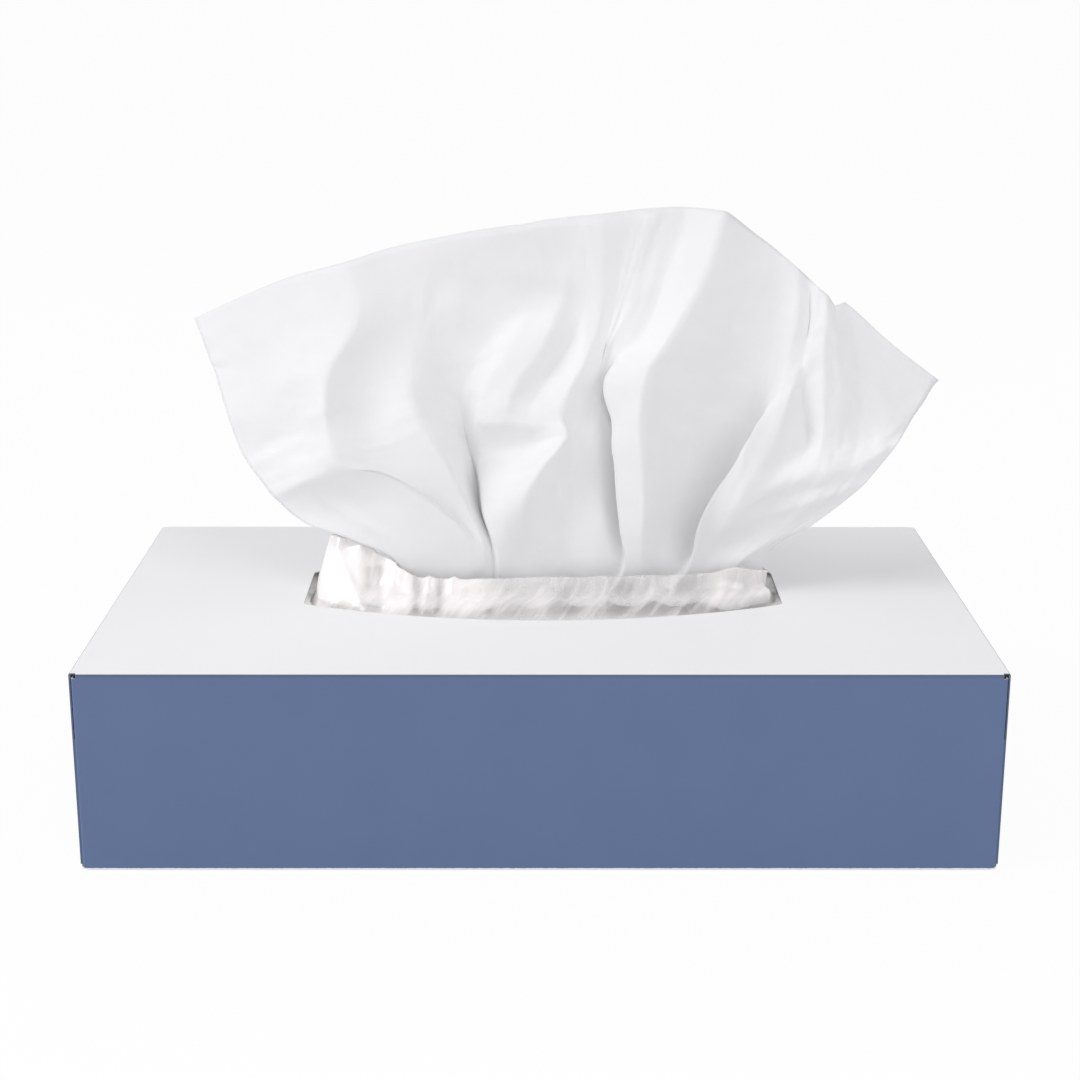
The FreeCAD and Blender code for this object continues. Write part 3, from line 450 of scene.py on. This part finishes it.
def make_board(sizes):
    """Coated folding boxboard, offset printed: a smooth satin white and blue, grey-white uncoated
    inside and on cut edges, with painted shade darkening the print along the folds."""
    material, tree = new_material("printed_boxboard")
    place = add_node(tree, "ShaderNodeTexCoord").outputs
    at = add_node(tree, "ShaderNodeSeparateXYZ", {0: place["Object"]}).outputs
    facing = add_node(tree, "ShaderNodeSeparateXYZ", {0: place["Normal"]}).outputs
    fine = add_node(tree, "ShaderNodeTexNoise", {
        0: place["Object"], "Scale": 1 / PAPER_GRAIN, "Detail": 3.0})
    cloud = add_node(tree, "ShaderNodeTexNoise", {
        0: place["Object"], "Scale": 1 / PRINT_MOTTLE, "Detail": 3.0})

    # The print is on faces that lie on an outer side and face outwards, above the bare margin.
    sides = []
    for axis, half in ((0, CARTON_HIGH.x), (1, CARTON_HIGH.y)):
        sign = add_node(tree, "ShaderNodeMath", {0: at[axis]}, operation="SIGN")
        out = add_node(tree, "ShaderNodeMath", {0: facing[axis], 1: sign.outputs[0]}, operation="MULTIPLY")
        faces_out = add_node(tree, "ShaderNodeMath", {0: out.outputs[0], 1: 0.45}, operation="GREATER_THAN")
        far = add_node(tree, "ShaderNodeMath", {0: at[axis]}, operation="ABSOLUTE")
        outer = add_node(tree, "ShaderNodeMath", {
            0: far.outputs[0], 1: half - 4 * BOARD}, operation="GREATER_THAN")
        both = add_node(tree, "ShaderNodeMath", {
            0: outer.outputs[0], 1: faces_out.outputs[0]}, operation="MULTIPLY")
        sides.append(both.outputs[0])
    side = add_node(tree, "ShaderNodeMath", {0: sides[0], 1: sides[1]}, operation="MAXIMUM")
    wavy = add_node(tree, "ShaderNodeMath", {
        0: fine.outputs[0], 1: 2 * PRINT_WAVER, 2: sizes.print_margin - PRINT_WAVER},
        operation="MULTIPLY_ADD")
    above = add_node(tree, "ShaderNodeMath", {0: at[2], 1: wavy.outputs[0]}, operation="GREATER_THAN")
    printed = add_node(tree, "ShaderNodeMath", {
        0: side.outputs[0], 1: above.outputs[0]}, operation="MULTIPLY")

    # Painted shade: the print is drawn darker where it turns over the top folds and round the upright ones,
    # standing in for the shade on the rounded folds.
    fold = add_node(tree, "ShaderNodeMapRange", {0: at[2], 1: TOP - 1.0 * MM, 2: TOP - 0.3 * MM})
    end = add_node(tree, "ShaderNodeMath", {0: at[0]}, operation="ABSOLUTE")
    corner = add_node(tree, "ShaderNodeMapRange", {
        0: end.outputs[0], 1: CARTON_HIGH.x - 0.5 * MM, 2: CARTON_HIGH.x - 0.1 * MM, 4: 0.5})
    turned = add_node(tree, "ShaderNodeMath", {0: facing[0]}, operation="ABSOLUTE")
    long_side = add_node(tree, "ShaderNodeMath", {0: turned.outputs[0], 1: 0.9}, operation="LESS_THAN")
    edge = add_node(tree, "ShaderNodeMath", {
        0: corner.outputs[0], 1: long_side.outputs[0]}, operation="MULTIPLY")
    fold_shade = add_node(tree, "ShaderNodeMath", {0: fold.outputs[0], 1: edge.outputs[0]}, operation="MAXIMUM")
    blue = add_node(tree, "ShaderNodeMix", {
        0: fold_shade.outputs[0], "A": [*sizes.print_blue, 1], "B": [*sizes.fold_shade_blue, 1]}, data_type="RGBA")
    mottle = add_node(tree, "ShaderNodeMapRange", {0: cloud.outputs[0], 1: 0.3, 2: 0.7, 3: 0.975, 4: 1.02})
    toned = add_node(tree, "ShaderNodeMix", {0: 1.0, "A": blue.outputs["Result"], "B": mottle.outputs[0]},
                     data_type="RGBA", blend_type="MULTIPLY")

    # White coating on the top's outer face and on the bare margin, uncoated board elsewhere.
    upper = add_node(tree, "ShaderNodeMath", {0: at[2], 1: TOP - 0.08 * MM}, operation="GREATER_THAN")
    lower = add_node(tree, "ShaderNodeMath", {0: at[2], 1: sizes.print_margin}, operation="LESS_THAN")
    coated = add_node(tree, "ShaderNodeMath", {
        0: upper.outputs[0], 1: lower.outputs[0]}, operation="MAXIMUM")
    plain = add_node(tree, "ShaderNodeMix", {
        0: coated.outputs[0], "A": [*sizes.board_inside, 1], "B": [*sizes.board_white, 1]}, data_type="RGBA")
    colour = add_node(tree, "ShaderNodeMix", {
        0: printed.outputs[0], "A": plain.outputs["Result"], "B": toned.outputs["Result"]}, data_type="RGBA")
    rough = add_node(tree, "ShaderNodeMapRange", {0: cloud.outputs[0], 1: 0.3, 2: 0.7, 3: 0.42, 4: 0.52})
    bump = add_node(tree, "ShaderNodeBump", {
        "Strength": 0.25, "Distance": 0.03 * MM, "Height": fine.outputs[0]})
    shader = add_node(tree, "ShaderNodeBsdfPrincipled", {
        "Base Color": colour.outputs["Result"], "Roughness": rough.outputs[0], "Normal": bump.outputs[0],
        "IOR": 1.5, "Specular IOR Level": 0.35})
    add_node(tree, "ShaderNodeOutputMaterial", {0: shader.outputs[0]})
    return material


def make_film(sizes):
    """Blown polyethylene film: thin, soft and glossy. It is clear with a milky haze, thicker where
    it is bunched. Where it turns edge-on its white shows more, as a painted reflection of the white
    room, so crinkles show as pale streaks."""
    material, tree = new_material("polyethylene_film")
    place = add_node(tree, "ShaderNodeTexCoord").outputs
    drawn = add_node(tree, "ShaderNodeMapping", {
        0: place["Object"], "Rotation": (0, 0, STREAK_TURN), "Scale": STREAK_DRAW}, vector_type="TEXTURE")
    edge = add_node(tree, "ShaderNodeLayerWeight", {"Blend": 0.35})
    streaks = add_node(tree, "ShaderNodeTexNoise", {
        0: drawn.outputs[0], "Scale": 1 / STREAK_WIDTH, "Detail": 2.0, "Distortion": 0.2})
    haze = add_node(tree, "ShaderNodeMapRange", {0: streaks.outputs[0], 1: 0.45, 2: 0.68, 3: 0.0, 4: 0.20})
    # Painted reflection: the film's white grows more opaque as the film turns edge-on, standing in for its
    # reflection of the white room; film_haze is its real haze seen straight on.
    turned = add_node(tree, "ShaderNodeMapRange", {0: edge.outputs["Facing"], 3: sizes.film_haze, 4: 0.60})
    bunched = add_node(tree, "ShaderNodeAttribute", attribute_name="bunched")
    milky = add_node(tree, "ShaderNodeMath", {
        0: haze.outputs[0], 1: bunched.outputs["Fac"]}, operation="ADD")
    whole = add_node(tree, "ShaderNodeMath", {
        0: turned.outputs[0], 1: milky.outputs[0]}, operation="ADD", use_clamp=True)

    # Haze scatters light onwards, so the film's shadow is paler than the film looks.
    ray = add_node(tree, "ShaderNodeLightPath").outputs
    pale = add_node(tree, "ShaderNodeMapRange", {0: ray["Is Shadow Ray"], 3: 1.0, 4: 0.35})
    alpha = add_node(tree, "ShaderNodeMath", {0: whole.outputs[0], 1: pale.outputs[0]}, operation="MULTIPLY")
    bump = add_node(tree, "ShaderNodeBump", {
        "Strength": 0.4, "Distance": 0.06 * MM, "Height": streaks.outputs[0]})
    shader = add_node(tree, "ShaderNodeBsdfPrincipled", {
        "Base Color": [*sizes.film_white, 1], "Alpha": alpha.outputs[0], "Normal": bump.outputs[0],
        "IOR": 1.51, "Roughness": 0.2, "Specular IOR Level": 1.0, "Coat Weight": 1.0,
        "Coat Roughness": 0.08, "Sheen Weight": 0.4, "Sheen Roughness": 0.4})
    add_node(tree, "ShaderNodeOutputMaterial", {0: shader.outputs[0]})
    return material


def make_tissue(sizes, name="creped_tissue"):
    """Two-ply creped tissue: matt bleached fibre that lets light through, with a fine crepe, drawn
    coarser than the real 0.3 mm so that it shows, and a soft unevenness of the two plies."""
    material, tree = new_material(name)
    place = add_node(tree, "ShaderNodeTexCoord").outputs
    fibre = add_node(tree, "ShaderNodeTexNoise", {
        0: place["Object"], "Scale": 1 / CREPE, "Detail": 4.0})
    cloud = add_node(tree, "ShaderNodeTexNoise", {
        0: place["Object"], "Scale": 1 / PLY_CLOUD, "Detail": 4.0})
    tone = add_node(tree, "ShaderNodeMapRange", {0: cloud.outputs[0], 1: 0.3, 2: 0.7, 3: 0.985, 4: 1.01})
    colour = add_node(tree, "ShaderNodeMix", {0: 1.0, "A": [*sizes.tissue_white, 1], "B": tone.outputs[0]},
                      data_type="RGBA", blend_type="MULTIPLY")
    soft = add_node(tree, "ShaderNodeBump", {
        "Strength": 0.35, "Distance": 0.5 * MM, "Height": cloud.outputs[0]})
    bump = add_node(tree, "ShaderNodeBump", {
        "Strength": 0.3, "Distance": 0.06 * MM, "Height": fibre.outputs[0], "Normal": soft.outputs[0]})
    shader = add_node(tree, "ShaderNodeBsdfPrincipled", {
        "Base Color": colour.outputs["Result"], "Normal": bump.outputs[0], "Roughness": 0.9, "IOR": 1.4,
        "Specular IOR Level": 0.15, "Sheen Weight": 0.15, "Subsurface Weight": 0.35,
        "Subsurface Radius": (1.0, 1.0, 1.0), "Subsurface Scale": 1.2 * MM})
    add_node(tree, "ShaderNodeOutputMaterial", {0: shader.outputs[0]})
    return material


def make_table():
    """White sweep of the studio table: plain white to the camera, with the object's shadow kept."""
    material, tree = new_material("white_sweep")
    shader = add_node(tree, "ShaderNodeBsdfPrincipled", {
        "Base Color": linear("F6F6F6"), "Roughness": 0.9, "Specular IOR Level": 0.1})
    glow = add_node(tree, "ShaderNodeEmission", {"Strength": 1.0})
    ray = add_node(tree, "ShaderNodeLightPath").outputs
    seen = add_node(tree, "ShaderNodeMath", {0: ray["Is Camera Ray"], 1: TABLE_WHITE}, operation="MULTIPLY")
    glossy = add_node(tree, "ShaderNodeMath", {
        0: seen.outputs[0], 1: ray["Is Glossy Ray"]}, operation="MAXIMUM")
    through = add_node(tree, "ShaderNodeMath", {
        0: glossy.outputs[0], 1: ray["Is Transmission Ray"]}, operation="MAXIMUM")
    mixed = add_node(tree, "ShaderNodeMixShader", {
        0: through.outputs[0], 1: shader.outputs[0], 2: glow.outputs[0]})
    add_node(tree, "ShaderNodeOutputMaterial", {0: mixed.outputs[0]})
    return material


def make_world():
    """Even studio light, which the camera and glossy surfaces see as plain white."""
    world = bpy.data.worlds.new("studio")
    world.use_nodes = True
    tree = world.node_tree
    tree.nodes.clear()
    ray = add_node(tree, "ShaderNodeLightPath").outputs
    seen = add_node(tree, "ShaderNodeMath", {
        0: ray["Is Camera Ray"], 1: ray["Is Glossy Ray"]}, operation="MAXIMUM")
    room = add_node(tree, "ShaderNodeBackground", {"Color": linear("FBFBFF"), "Strength": ROOM_STRENGTH})
    white = add_node(tree, "ShaderNodeBackground", {"Color": linear("FFFFFF"), "Strength": 1.0})
    mixed = add_node(tree, "ShaderNodeMixShader", {
        0: seen.outputs[0], 1: room.outputs[0], 2: white.outputs[0]})
    add_node(tree, "ShaderNodeOutputWorld", {0: mixed.outputs[0]})
    return world


# Sizes and colours that a user would change

class TissueBoxSizes(bpy.types.PropertyGroup):
    """Sizes and colours of the dressed box."""

    sheet_width: FloatProperty(
        name="Sheet Width", description="Flat width of one tissue", default=0.216, unit="LENGTH")
    sheet_length: FloatProperty(
        name="Sheet Length", description="Flat length of one tissue", default=0.21, unit="LENGTH")
    tissue_thickness: FloatProperty(
        name="Tissue", description="Thickness of the tissue's two plies", default=0.2 * MM, unit="LENGTH",
        precision=5)
    wrinkle: FloatProperty(
        name="Wrinkles", description="Depth of the tissue's small wrinkles", default=0.5 * MM, unit="LENGTH",
        precision=5)
    film_thickness: FloatProperty(
        name="Film", description="Thickness of the film as drawn", default=0.1 * MM, unit="LENGTH",
        precision=5)
    film_crinkle: FloatProperty(
        name="Film Crinkle", description="Depth of the film's crinkles", default=0.5 * MM, unit="LENGTH",
        precision=5)
    film_haze: FloatProperty(
        name="Film Haze", description="How milky the film is seen straight on", default=0.065, min=0, max=1)
    stack_layers: IntProperty(
        name="Stack Layers", description="Folded layers drawn in the stack", default=46, min=4)
    print_margin: FloatProperty(
        name="Print Margin", description="Bare board under the print, above the table", default=0.7 * MM,
        unit="LENGTH", precision=5)
    print_blue: FloatVectorProperty(
        name="Print", description="Blue print of the side panels", default=linear("5D7094")[:3],
        subtype="COLOR")
    # Painted shade: the darker blue drawn where the print turns over a fold, standing in for the shade on
    # the rounded folds.
    fold_shade_blue: FloatVectorProperty(
        name="Fold", description="Print where it turns over a fold", default=linear("54607C")[:3],
        subtype="COLOR")
    board_white: FloatVectorProperty(
        name="Board", description="Coated white of the top panel", default=linear("F3F3F3")[:3],
        subtype="COLOR")
    board_inside: FloatVectorProperty(
        name="Inside", description="Uncoated inside of the board", default=linear("D9D6D0")[:3],
        subtype="COLOR")
    film_white: FloatVectorProperty(
        name="Film Tint", description="Milky tint of the film", default=linear("FFFBFA")[:3],
        subtype="COLOR")
    tissue_white: FloatVectorProperty(
        name="Tissue White", description="White of the tissue", default=linear("F0F0F0")[:3],
        subtype="COLOR")


# Pieces

class TISSUEBOX_OT_stage(bpy.types.Operator):
    """Make the white table, the studio light and the camera"""

    bl_idname = "tissuebox.stage"
    bl_label = "Stage"

    def execute(self, context):
        scene = context.scene
        scene.view_settings.view_transform = "Standard"
        mesh = bpy.data.meshes.new("table")
        corners = [(-1, -1), (1, -1), (1, 1), (-1, 1)]
        points = [(x * TABLE_HALF, y * TABLE_HALF, TABLE_TOP) for x, y in corners]
        mesh.from_pydata(points, [], [(0, 1, 2, 3)])
        table = bpy.data.objects.new("table", mesh)
        scene.collection.objects.link(table)
        mesh.materials.append(make_table())

        lens = bpy.data.cameras.new("camera")
        lens.lens = LENS
        lens.sensor_width = SENSOR
        lens.clip_start = 10 * MM
        camera = bpy.data.objects.new("camera", lens)
        camera.matrix_world = Matrix.Translation(CAMERA_PLACE) @ camera_turn().to_4x4()
        scene.collection.objects.link(camera)
        scene.camera = camera

        for name, place, wide, watts in LAMPS:
            lamp = bpy.data.lights.new(name, "AREA")
            lamp.shape = "DISK"
            lamp.size = wide
            lamp.energy = watts
            holder = bpy.data.objects.new(name, lamp)
            aim = (LAMP_AIM - Vector(place)).to_track_quat("-Z", "Y").to_matrix().to_4x4()
            holder.matrix_world = Matrix.Translation(place) @ aim
            scene.collection.objects.link(holder)
        scene.world = make_world()
        return {"FINISHED"}


class TISSUEBOX_OT_carton(bpy.types.Operator):
    """Print the carton: white top panel and blue sides"""

    bl_idname = "tissuebox.carton"
    bl_label = "Carton"

    def execute(self, context):
        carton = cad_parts["carton"]
        carton.data.materials.clear()
        carton.data.materials.append(make_board(context.scene.tissue_box))
        return {"FINISHED"}


def ring_point(turn, half_length, half_depth, squareness):
    """Point of a closed curve at a turn: squareness 2 gives an ellipse, more gives squarer."""
    across, back = math.cos(turn), math.sin(turn)
    scale = (abs(across) ** squareness + abs(back) ** squareness) ** (-1 / squareness)
    return half_length * across * scale, half_depth * back * scale


def film_rib(turn, panel):
    """One rib of the film from its glued edge to its lip, and its share of the way to the back."""
    back = (1 + max(-1.0, min(1.0, LIP_TURN * math.sin(turn)))) / 2
    slit_x = SLIT_X + SLIT_HALF_LENGTH * math.cos(turn)
    front_lip, back_lip, rise = [value * MM for value in read_table(LIPS, slit_x / MM)]
    lip = Vector((slit_x, front_lip + (back_lip - front_lip) * back, TOP + rise))
    outer = ring_point(turn, FILM_HALF_LENGTH, FILM_HALF_DEPTH, SHEET_SQUARENESS)
    margin = ring_point(
        turn, OPENING_HALF_LENGTH + GLUE_MARGIN, OPENING_HALF_DEPTH + GLUE_MARGIN, MARGIN_SQUARENESS)
    inside = ring_point(
        turn, OPENING_HALF_LENGTH - DIP_INSIDE_X, OPENING_HALF_DEPTH - DIP_INSIDE_Y, DIP_SQUARENESS)
    front_dip, back_dip = [value * MM for value in read_table(DIPS, (OPENING_X + inside[0]) / MM)]
    low = panel - front_dip - (back_dip - front_dip) * back
    edge = Vector((OPENING_X + inside[0], OPENING_Y + inside[1], low))
    root = lip.lerp(edge, ROOT_SHARE)
    middle = root.lerp(edge, 0.5)

    # At the left end the film rises straight to the tent; elsewhere it lies low and turns up late.
    tent = fade(slit_x, TENT_START, TENT_FULL)
    low_root = TOP + ROOT_RISE + ROOT_SHARE * rise * (1 - back) - BACK_DROP * back
    root.z = low_root + (root.z - low_root) * tent
    low_middle = (low_root + edge.z) / 2 + MIDDLE_RISE * (1 - back)
    middle.z = low_middle + (middle.z - low_middle) * tent
    points = [Vector((OPENING_X + outer[0], OPENING_Y + outer[1], panel)),
              Vector((OPENING_X + margin[0], OPENING_Y + margin[1], panel)), edge, middle, root, lip]
    return smooth_line(points, RIB_STEPS, RIB_CRISPNESS), back


class TISSUEBOX_OT_film(bpy.types.Operator):
    """Make the crinkled clear film with its slit"""

    bl_idname = "tissuebox.film"
    bl_label = "Film"

    def execute(self, context):
        sizes = context.scene.tissue_box
        panel = TOP - BOARD - GLUE_GAP
        creases = [(Vector(start) * MM, Vector(end) * MM, wide * MM, high * MM)
                   for _, start, end, wide, high in FILM_CREASES]
        grid = []
        milky = []
        for number in range(RIBS):
            turn = 2 * math.pi * number / RIBS
            line, back = film_rib(turn, panel)
            for j, point in enumerate(line):
                flat = point.xy
                share = read_table(BUNCHED, point.x / MM)[0]
                high = fade(point.z, MILK_START, MILK_FULL)
                milky.append(share * (LOW_MILK + (1 - LOW_MILK) * high) * (1 - BACK_CLEAR * back))

                # The glued margin is flat, and the film crinkles more and more from there inwards.
                free = fade(j, 1.5 * RIB_STEPS, 2.6 * RIB_STEPS)
                if free == 0.0:
                    point.z = min(point.z, panel)
                    continue
                calm = 1.0 - 0.6 * fade(j, 4 * RIB_STEPS, 5 * RIB_STEPS)
                amount = free * calm * sizes.film_crinkle * (0.25 + 0.75 * abs(math.sin(turn)))
                pleats = Vector((point.x, 0.22 * point.y, 0.1 * point.z))
                slant = Vector((point.x + 0.7 * point.y, 0.3 * point.y, 0.02))
                other = Vector((point.x - 0.6 * point.y, 0.3 * point.y, 0.05))
                height = crumple(pleats, PLEAT_CRINKLE, 2) + 0.7 * ridge(slant, SLANT_CRINKLE)
                height += 0.6 * ridge(other, CROSS_CRINKLE)
                point.z += amount * (height + 0.25 * crumple(point, FINE_CRINKLE, 2))
                point.y += amount * 0.7 * crumple(pleats + Vector((0, 0, 0.3)), PLEAT_CRINKLE, 2)
                for start, end, wide, high in creases:
                    point.z += free * high * crease(flat, start, end, wide)
                if j < 2 * RIB_STEPS:
                    point.z = min(point.z, panel)
            grid.append(line)
        film = grid_object("clear_film", grid, True, sizes.film_thickness)
        film.data.attributes.new("bunched", "FLOAT", "POINT").data.foreach_set("value", milky)
        film.data.materials.append(make_film(sizes))
        context.view_layer.update()
        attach(film, "root")
        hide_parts("window_film")
        return {"FINISHED"}


def folded_layer(length, depth, thick):
    """One folded tissue of the stack: a flat slab with both long edges rounded as folds."""
    mesh = bpy.data.meshes.new("folded_layer")
    shape = bmesh.new()
    outline = []
    fold = thick / 2
    for side in (1, -1):
        for step in range(5):
            angle = math.radians(side * 90 - 45 * step)
            outline.append((side * (depth / 2 - fold) + math.cos(angle) * fold, math.sin(angle) * fold))
    ends = []
    for x in (-length / 2, length / 2):
        ends.append([shape.verts.new((x, y, z)) for y, z in outline])
    count = len(outline)
    for i in range(count):
        after = (i + 1) % count
        shape.faces.new((ends[0][i], ends[0][after], ends[1][after], ends[1][i]))
    shape.faces.new(ends[0])
    shape.faces.new(list(reversed(ends[1])))
    bmesh.ops.recalc_face_normals(shape, faces=shape.faces)
    shape.to_mesh(mesh)
    shape.free()
    return bpy.data.objects.new("folded_layer", mesh)


def stack_tree(material):
    """Geometry Nodes that pile folded layers up, each shifted a little."""
    tree = bpy.data.node_groups.new("pile_of_layers", "GeometryNodeTree")
    kinds = {"Layer": "NodeSocketObject", "Layers": "NodeSocketInt", "Pitch": "NodeSocketFloat",
             "Lowest": "NodeSocketFloat", "Shift": "NodeSocketFloat", "Seed": "NodeSocketInt"}
    sockets = {}
    for name, kind in kinds.items():
        sockets[name] = tree.interface.new_socket(name, in_out="INPUT", socket_type=kind).identifier
    tree.interface.new_socket("Geometry", in_out="OUTPUT", socket_type="NodeSocketGeometry")
    given = add_node(tree, "NodeGroupInput").outputs
    start = add_node(tree, "ShaderNodeCombineXYZ", {"Z": given["Lowest"]})
    step = add_node(tree, "ShaderNodeCombineXYZ", {"Z": given["Pitch"]})
    line = add_node(tree, "GeometryNodeMeshLine", {
        "Count": given["Layers"], "Start Location": start.outputs[0], "Offset": step.outputs[0]})
    layer = add_node(tree, "GeometryNodeObjectInfo", {"Object": given["Layer"]})
    most = add_node(tree, "ShaderNodeCombineXYZ", {"X": given["Shift"], "Y": given["Shift"]})
    least = add_node(tree, "ShaderNodeVectorMath", {
        0: most.outputs[0], 1: (-1, -1, -1)}, operation="MULTIPLY")
    shift = add_node(tree, "FunctionNodeRandomValue", {
        "Min": least.outputs[0], "Max": most.outputs[0], "Seed": given["Seed"]}, data_type="FLOAT_VECTOR")
    placed = add_node(tree, "GeometryNodeInstanceOnPoints", {
        "Points": line.outputs[0], "Instance": layer.outputs["Geometry"]})
    moved = add_node(tree, "GeometryNodeTranslateInstances", {
        "Instances": placed.outputs[0], "Translation": shift.outputs["Value"]})
    solid = add_node(tree, "GeometryNodeRealizeInstances", {0: moved.outputs[0]})
    painted = add_node(tree, "GeometryNodeSetMaterial", {"Geometry": solid.outputs[0], "Material": material})
    add_node(tree, "NodeGroupOutput", {"Geometry": painted.outputs[0]})
    return tree, sockets


class TISSUEBOX_OT_stack(bpy.types.Operator):
    """Pile up the folded tissues inside the carton"""

    bl_idname = "tissuebox.stack"
    bl_label = "Stack"

    def execute(self, context):
        sizes = context.scene.tissue_box
        pitch = (STACK_HIGH.z - STACK_LOW.z) / sizes.stack_layers
        length = STACK_HIGH.x - STACK_LOW.x - 2 * LAYER_SHIFT
        depth = STACK_HIGH.y - STACK_LOW.y - 2 * LAYER_SHIFT
        layer = folded_layer(length, depth, pitch)
        tree, sockets = stack_tree(make_tissue(sizes, "stacked_tissue_edges"))
        maker = bpy.data.objects.new("pile", bpy.data.meshes.new("pile"))
        context.scene.collection.objects.link(maker)
        nodes = maker.modifiers.new("pile", "NODES")
        nodes.node_group = tree
        given = {"Layer": layer, "Layers": sizes.stack_layers, "Pitch": pitch,
                 "Lowest": STACK_LOW.z + pitch / 2, "Shift": LAYER_SHIFT, "Seed": LAYER_SEED}
        for name, value in given.items():
            nodes[sockets[name]] = value
        context.view_layer.update()
        mesh = bpy.data.meshes.new_from_object(maker.evaluated_get(context.evaluated_depsgraph_get()))
        stack = bpy.data.objects.new("folded_stack", mesh)
        context.scene.collection.objects.link(stack)
        bpy.data.objects.remove(maker)
        bpy.data.objects.remove(layer)
        if not mesh.polygons:
            raise RuntimeError("the pile of tissues is empty")
        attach(stack, "root")
        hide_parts("tissue_stack")
        return {"FINISHED"}


def fold_line(number, stations):
    """One fold of the drawn tissue from its free edge through the slit to its hidden end."""
    points = [seen_at(*station) for station in stations]
    last = points[-1]
    share = number / (len(FOLDS) - 1) * 2 - 1
    gathered = NECK_X + share * NECK_WIDTH / 2
    pleat = PLEAT * math.sin(PLEAT_TURN * number)
    for _, up, back, spread, depth, hold, _ in HIDDEN:
        x = gathered + (share * FOOT_HALF_WIDTH - gathered) * spread + (last.x - gathered) * hold
        y = OPENING_Y + back * MM + pleat * depth * (1 - hold) + (last.y - OPENING_Y) * hold
        points.append(Vector((x, y, TOP + up * MM)))
    crisp = [0.0] * len(stations) + [hidden[-1] for hidden in HIDDEN]
    return smooth_line(points, STATION_STEPS, crisp)


class TISSUEBOX_OT_tissue(bpy.types.Operator):
    """Make the crumpled tissue that stands in the slit"""

    bl_idname = "tissuebox.tissue"
    bl_label = "Drawn Tissue"

    def execute(self, context):
        sizes = context.scene.tissue_box
        lines = [fold_line(number, stations) for number, (_, _, stations) in enumerate(FOLDS)]
        crisp = [sharp for _, sharp, _ in FOLDS]
        rows = [smooth_line([line[j] for line in lines], SPAN_STEPS, crisp) for j in range(len(lines[0]))]
        creases = [(seen_at(*start, 0).xz, seen_at(*end, 0).xz, wide * MM, high * MM)
                   for _, start, end, wide, high in CREASES]
        count, columns = len(rows), len(rows[0])
        seen_rows = (len(FOLDS[0][2]) - 1) * STATION_STEPS
        grid = []
        for j, row in enumerate(rows):
            down = j / seen_rows
            shown = 1.0
            if down > WRINKLES_WEAKEN:
                shown = max(0.0, WRINKLES_END - down)
            line = []
            for i, point in enumerate(row):
                u = i / (columns - 1)
                along = rows[min(j + 1, count - 1)][i] - rows[max(j - 1, 0)][i]
                side = row[min(i + 1, columns - 1)] - row[max(i - 1, 0)]
                normal = along.cross(side).normalized()
                flat = Vector((u * sizes.sheet_width, down * SHOWN_LENGTH, 0.0))
                gather = Vector((u * GATHER_WIDTH, down * GATHER_LENGTH, 0.2))
                depth = 1.3 * crumple(flat, BROAD_WRINKLE, 2) + 0.45 * crumple(flat, FINE_WRINKLE)
                depth += 0.5 * ridge(flat, SHARP_WRINKLE)
                depth += (0.3 + 1.2 * min(1.0, down) ** 2) * crumple(gather, GATHER_WRINKLE)
                place = point + normal * (sizes.wrinkle * depth * shown)
                for start, end, wide, high in creases if down < 1 else ():
                    place.y -= high * crease(point.xz, start, end, wide)
                line.append(place)
            grid.append(line)
        tissue = grid_object("drawn_tissue", grid, False, sizes.tissue_thickness)
        tissue.data.materials.append(make_tissue(sizes))
        context.view_layer.update()
        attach(tissue, "root")
        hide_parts("popup_tissue")
        return {"FINISHED"}


class TISSUEBOX_PT_panel(bpy.types.Panel):
    """Steps of the dressed box"""

    bl_label = "Tissue Box"
    bl_idname = "TISSUEBOX_PT_panel"
    bl_space_type = "VIEW_3D"
    bl_region_type = "UI"
    bl_category = "Tissue Box"

    def draw(self, context):
        for name in TissueBoxSizes.__annotations__:
            self.layout.prop(context.scene.tissue_box, name)
        for step in STEPS:
            self.layout.operator(step.bl_idname)


STEPS = (TISSUEBOX_OT_stage, TISSUEBOX_OT_carton, TISSUEBOX_OT_film, TISSUEBOX_OT_stack, TISSUEBOX_OT_tissue)
CLASSES = (TissueBoxSizes,) + STEPS + (TISSUEBOX_PT_panel,)


def register():
    for made in CLASSES:
        bpy.utils.register_class(made)
    bpy.types.Scene.tissue_box = PointerProperty(type=TissueBoxSizes)


def unregister():
    del bpy.types.Scene.tissue_box
    for made in reversed(CLASSES):
        bpy.utils.unregister_class(made)


def main():
    register()
    bpy.ops.tissuebox.stage()
    bpy.ops.tissuebox.carton()
    bpy.ops.tissuebox.film()
    bpy.ops.tissuebox.stack()
    bpy.ops.tissuebox.tissue()


if __name__ == "__main__":
    main()
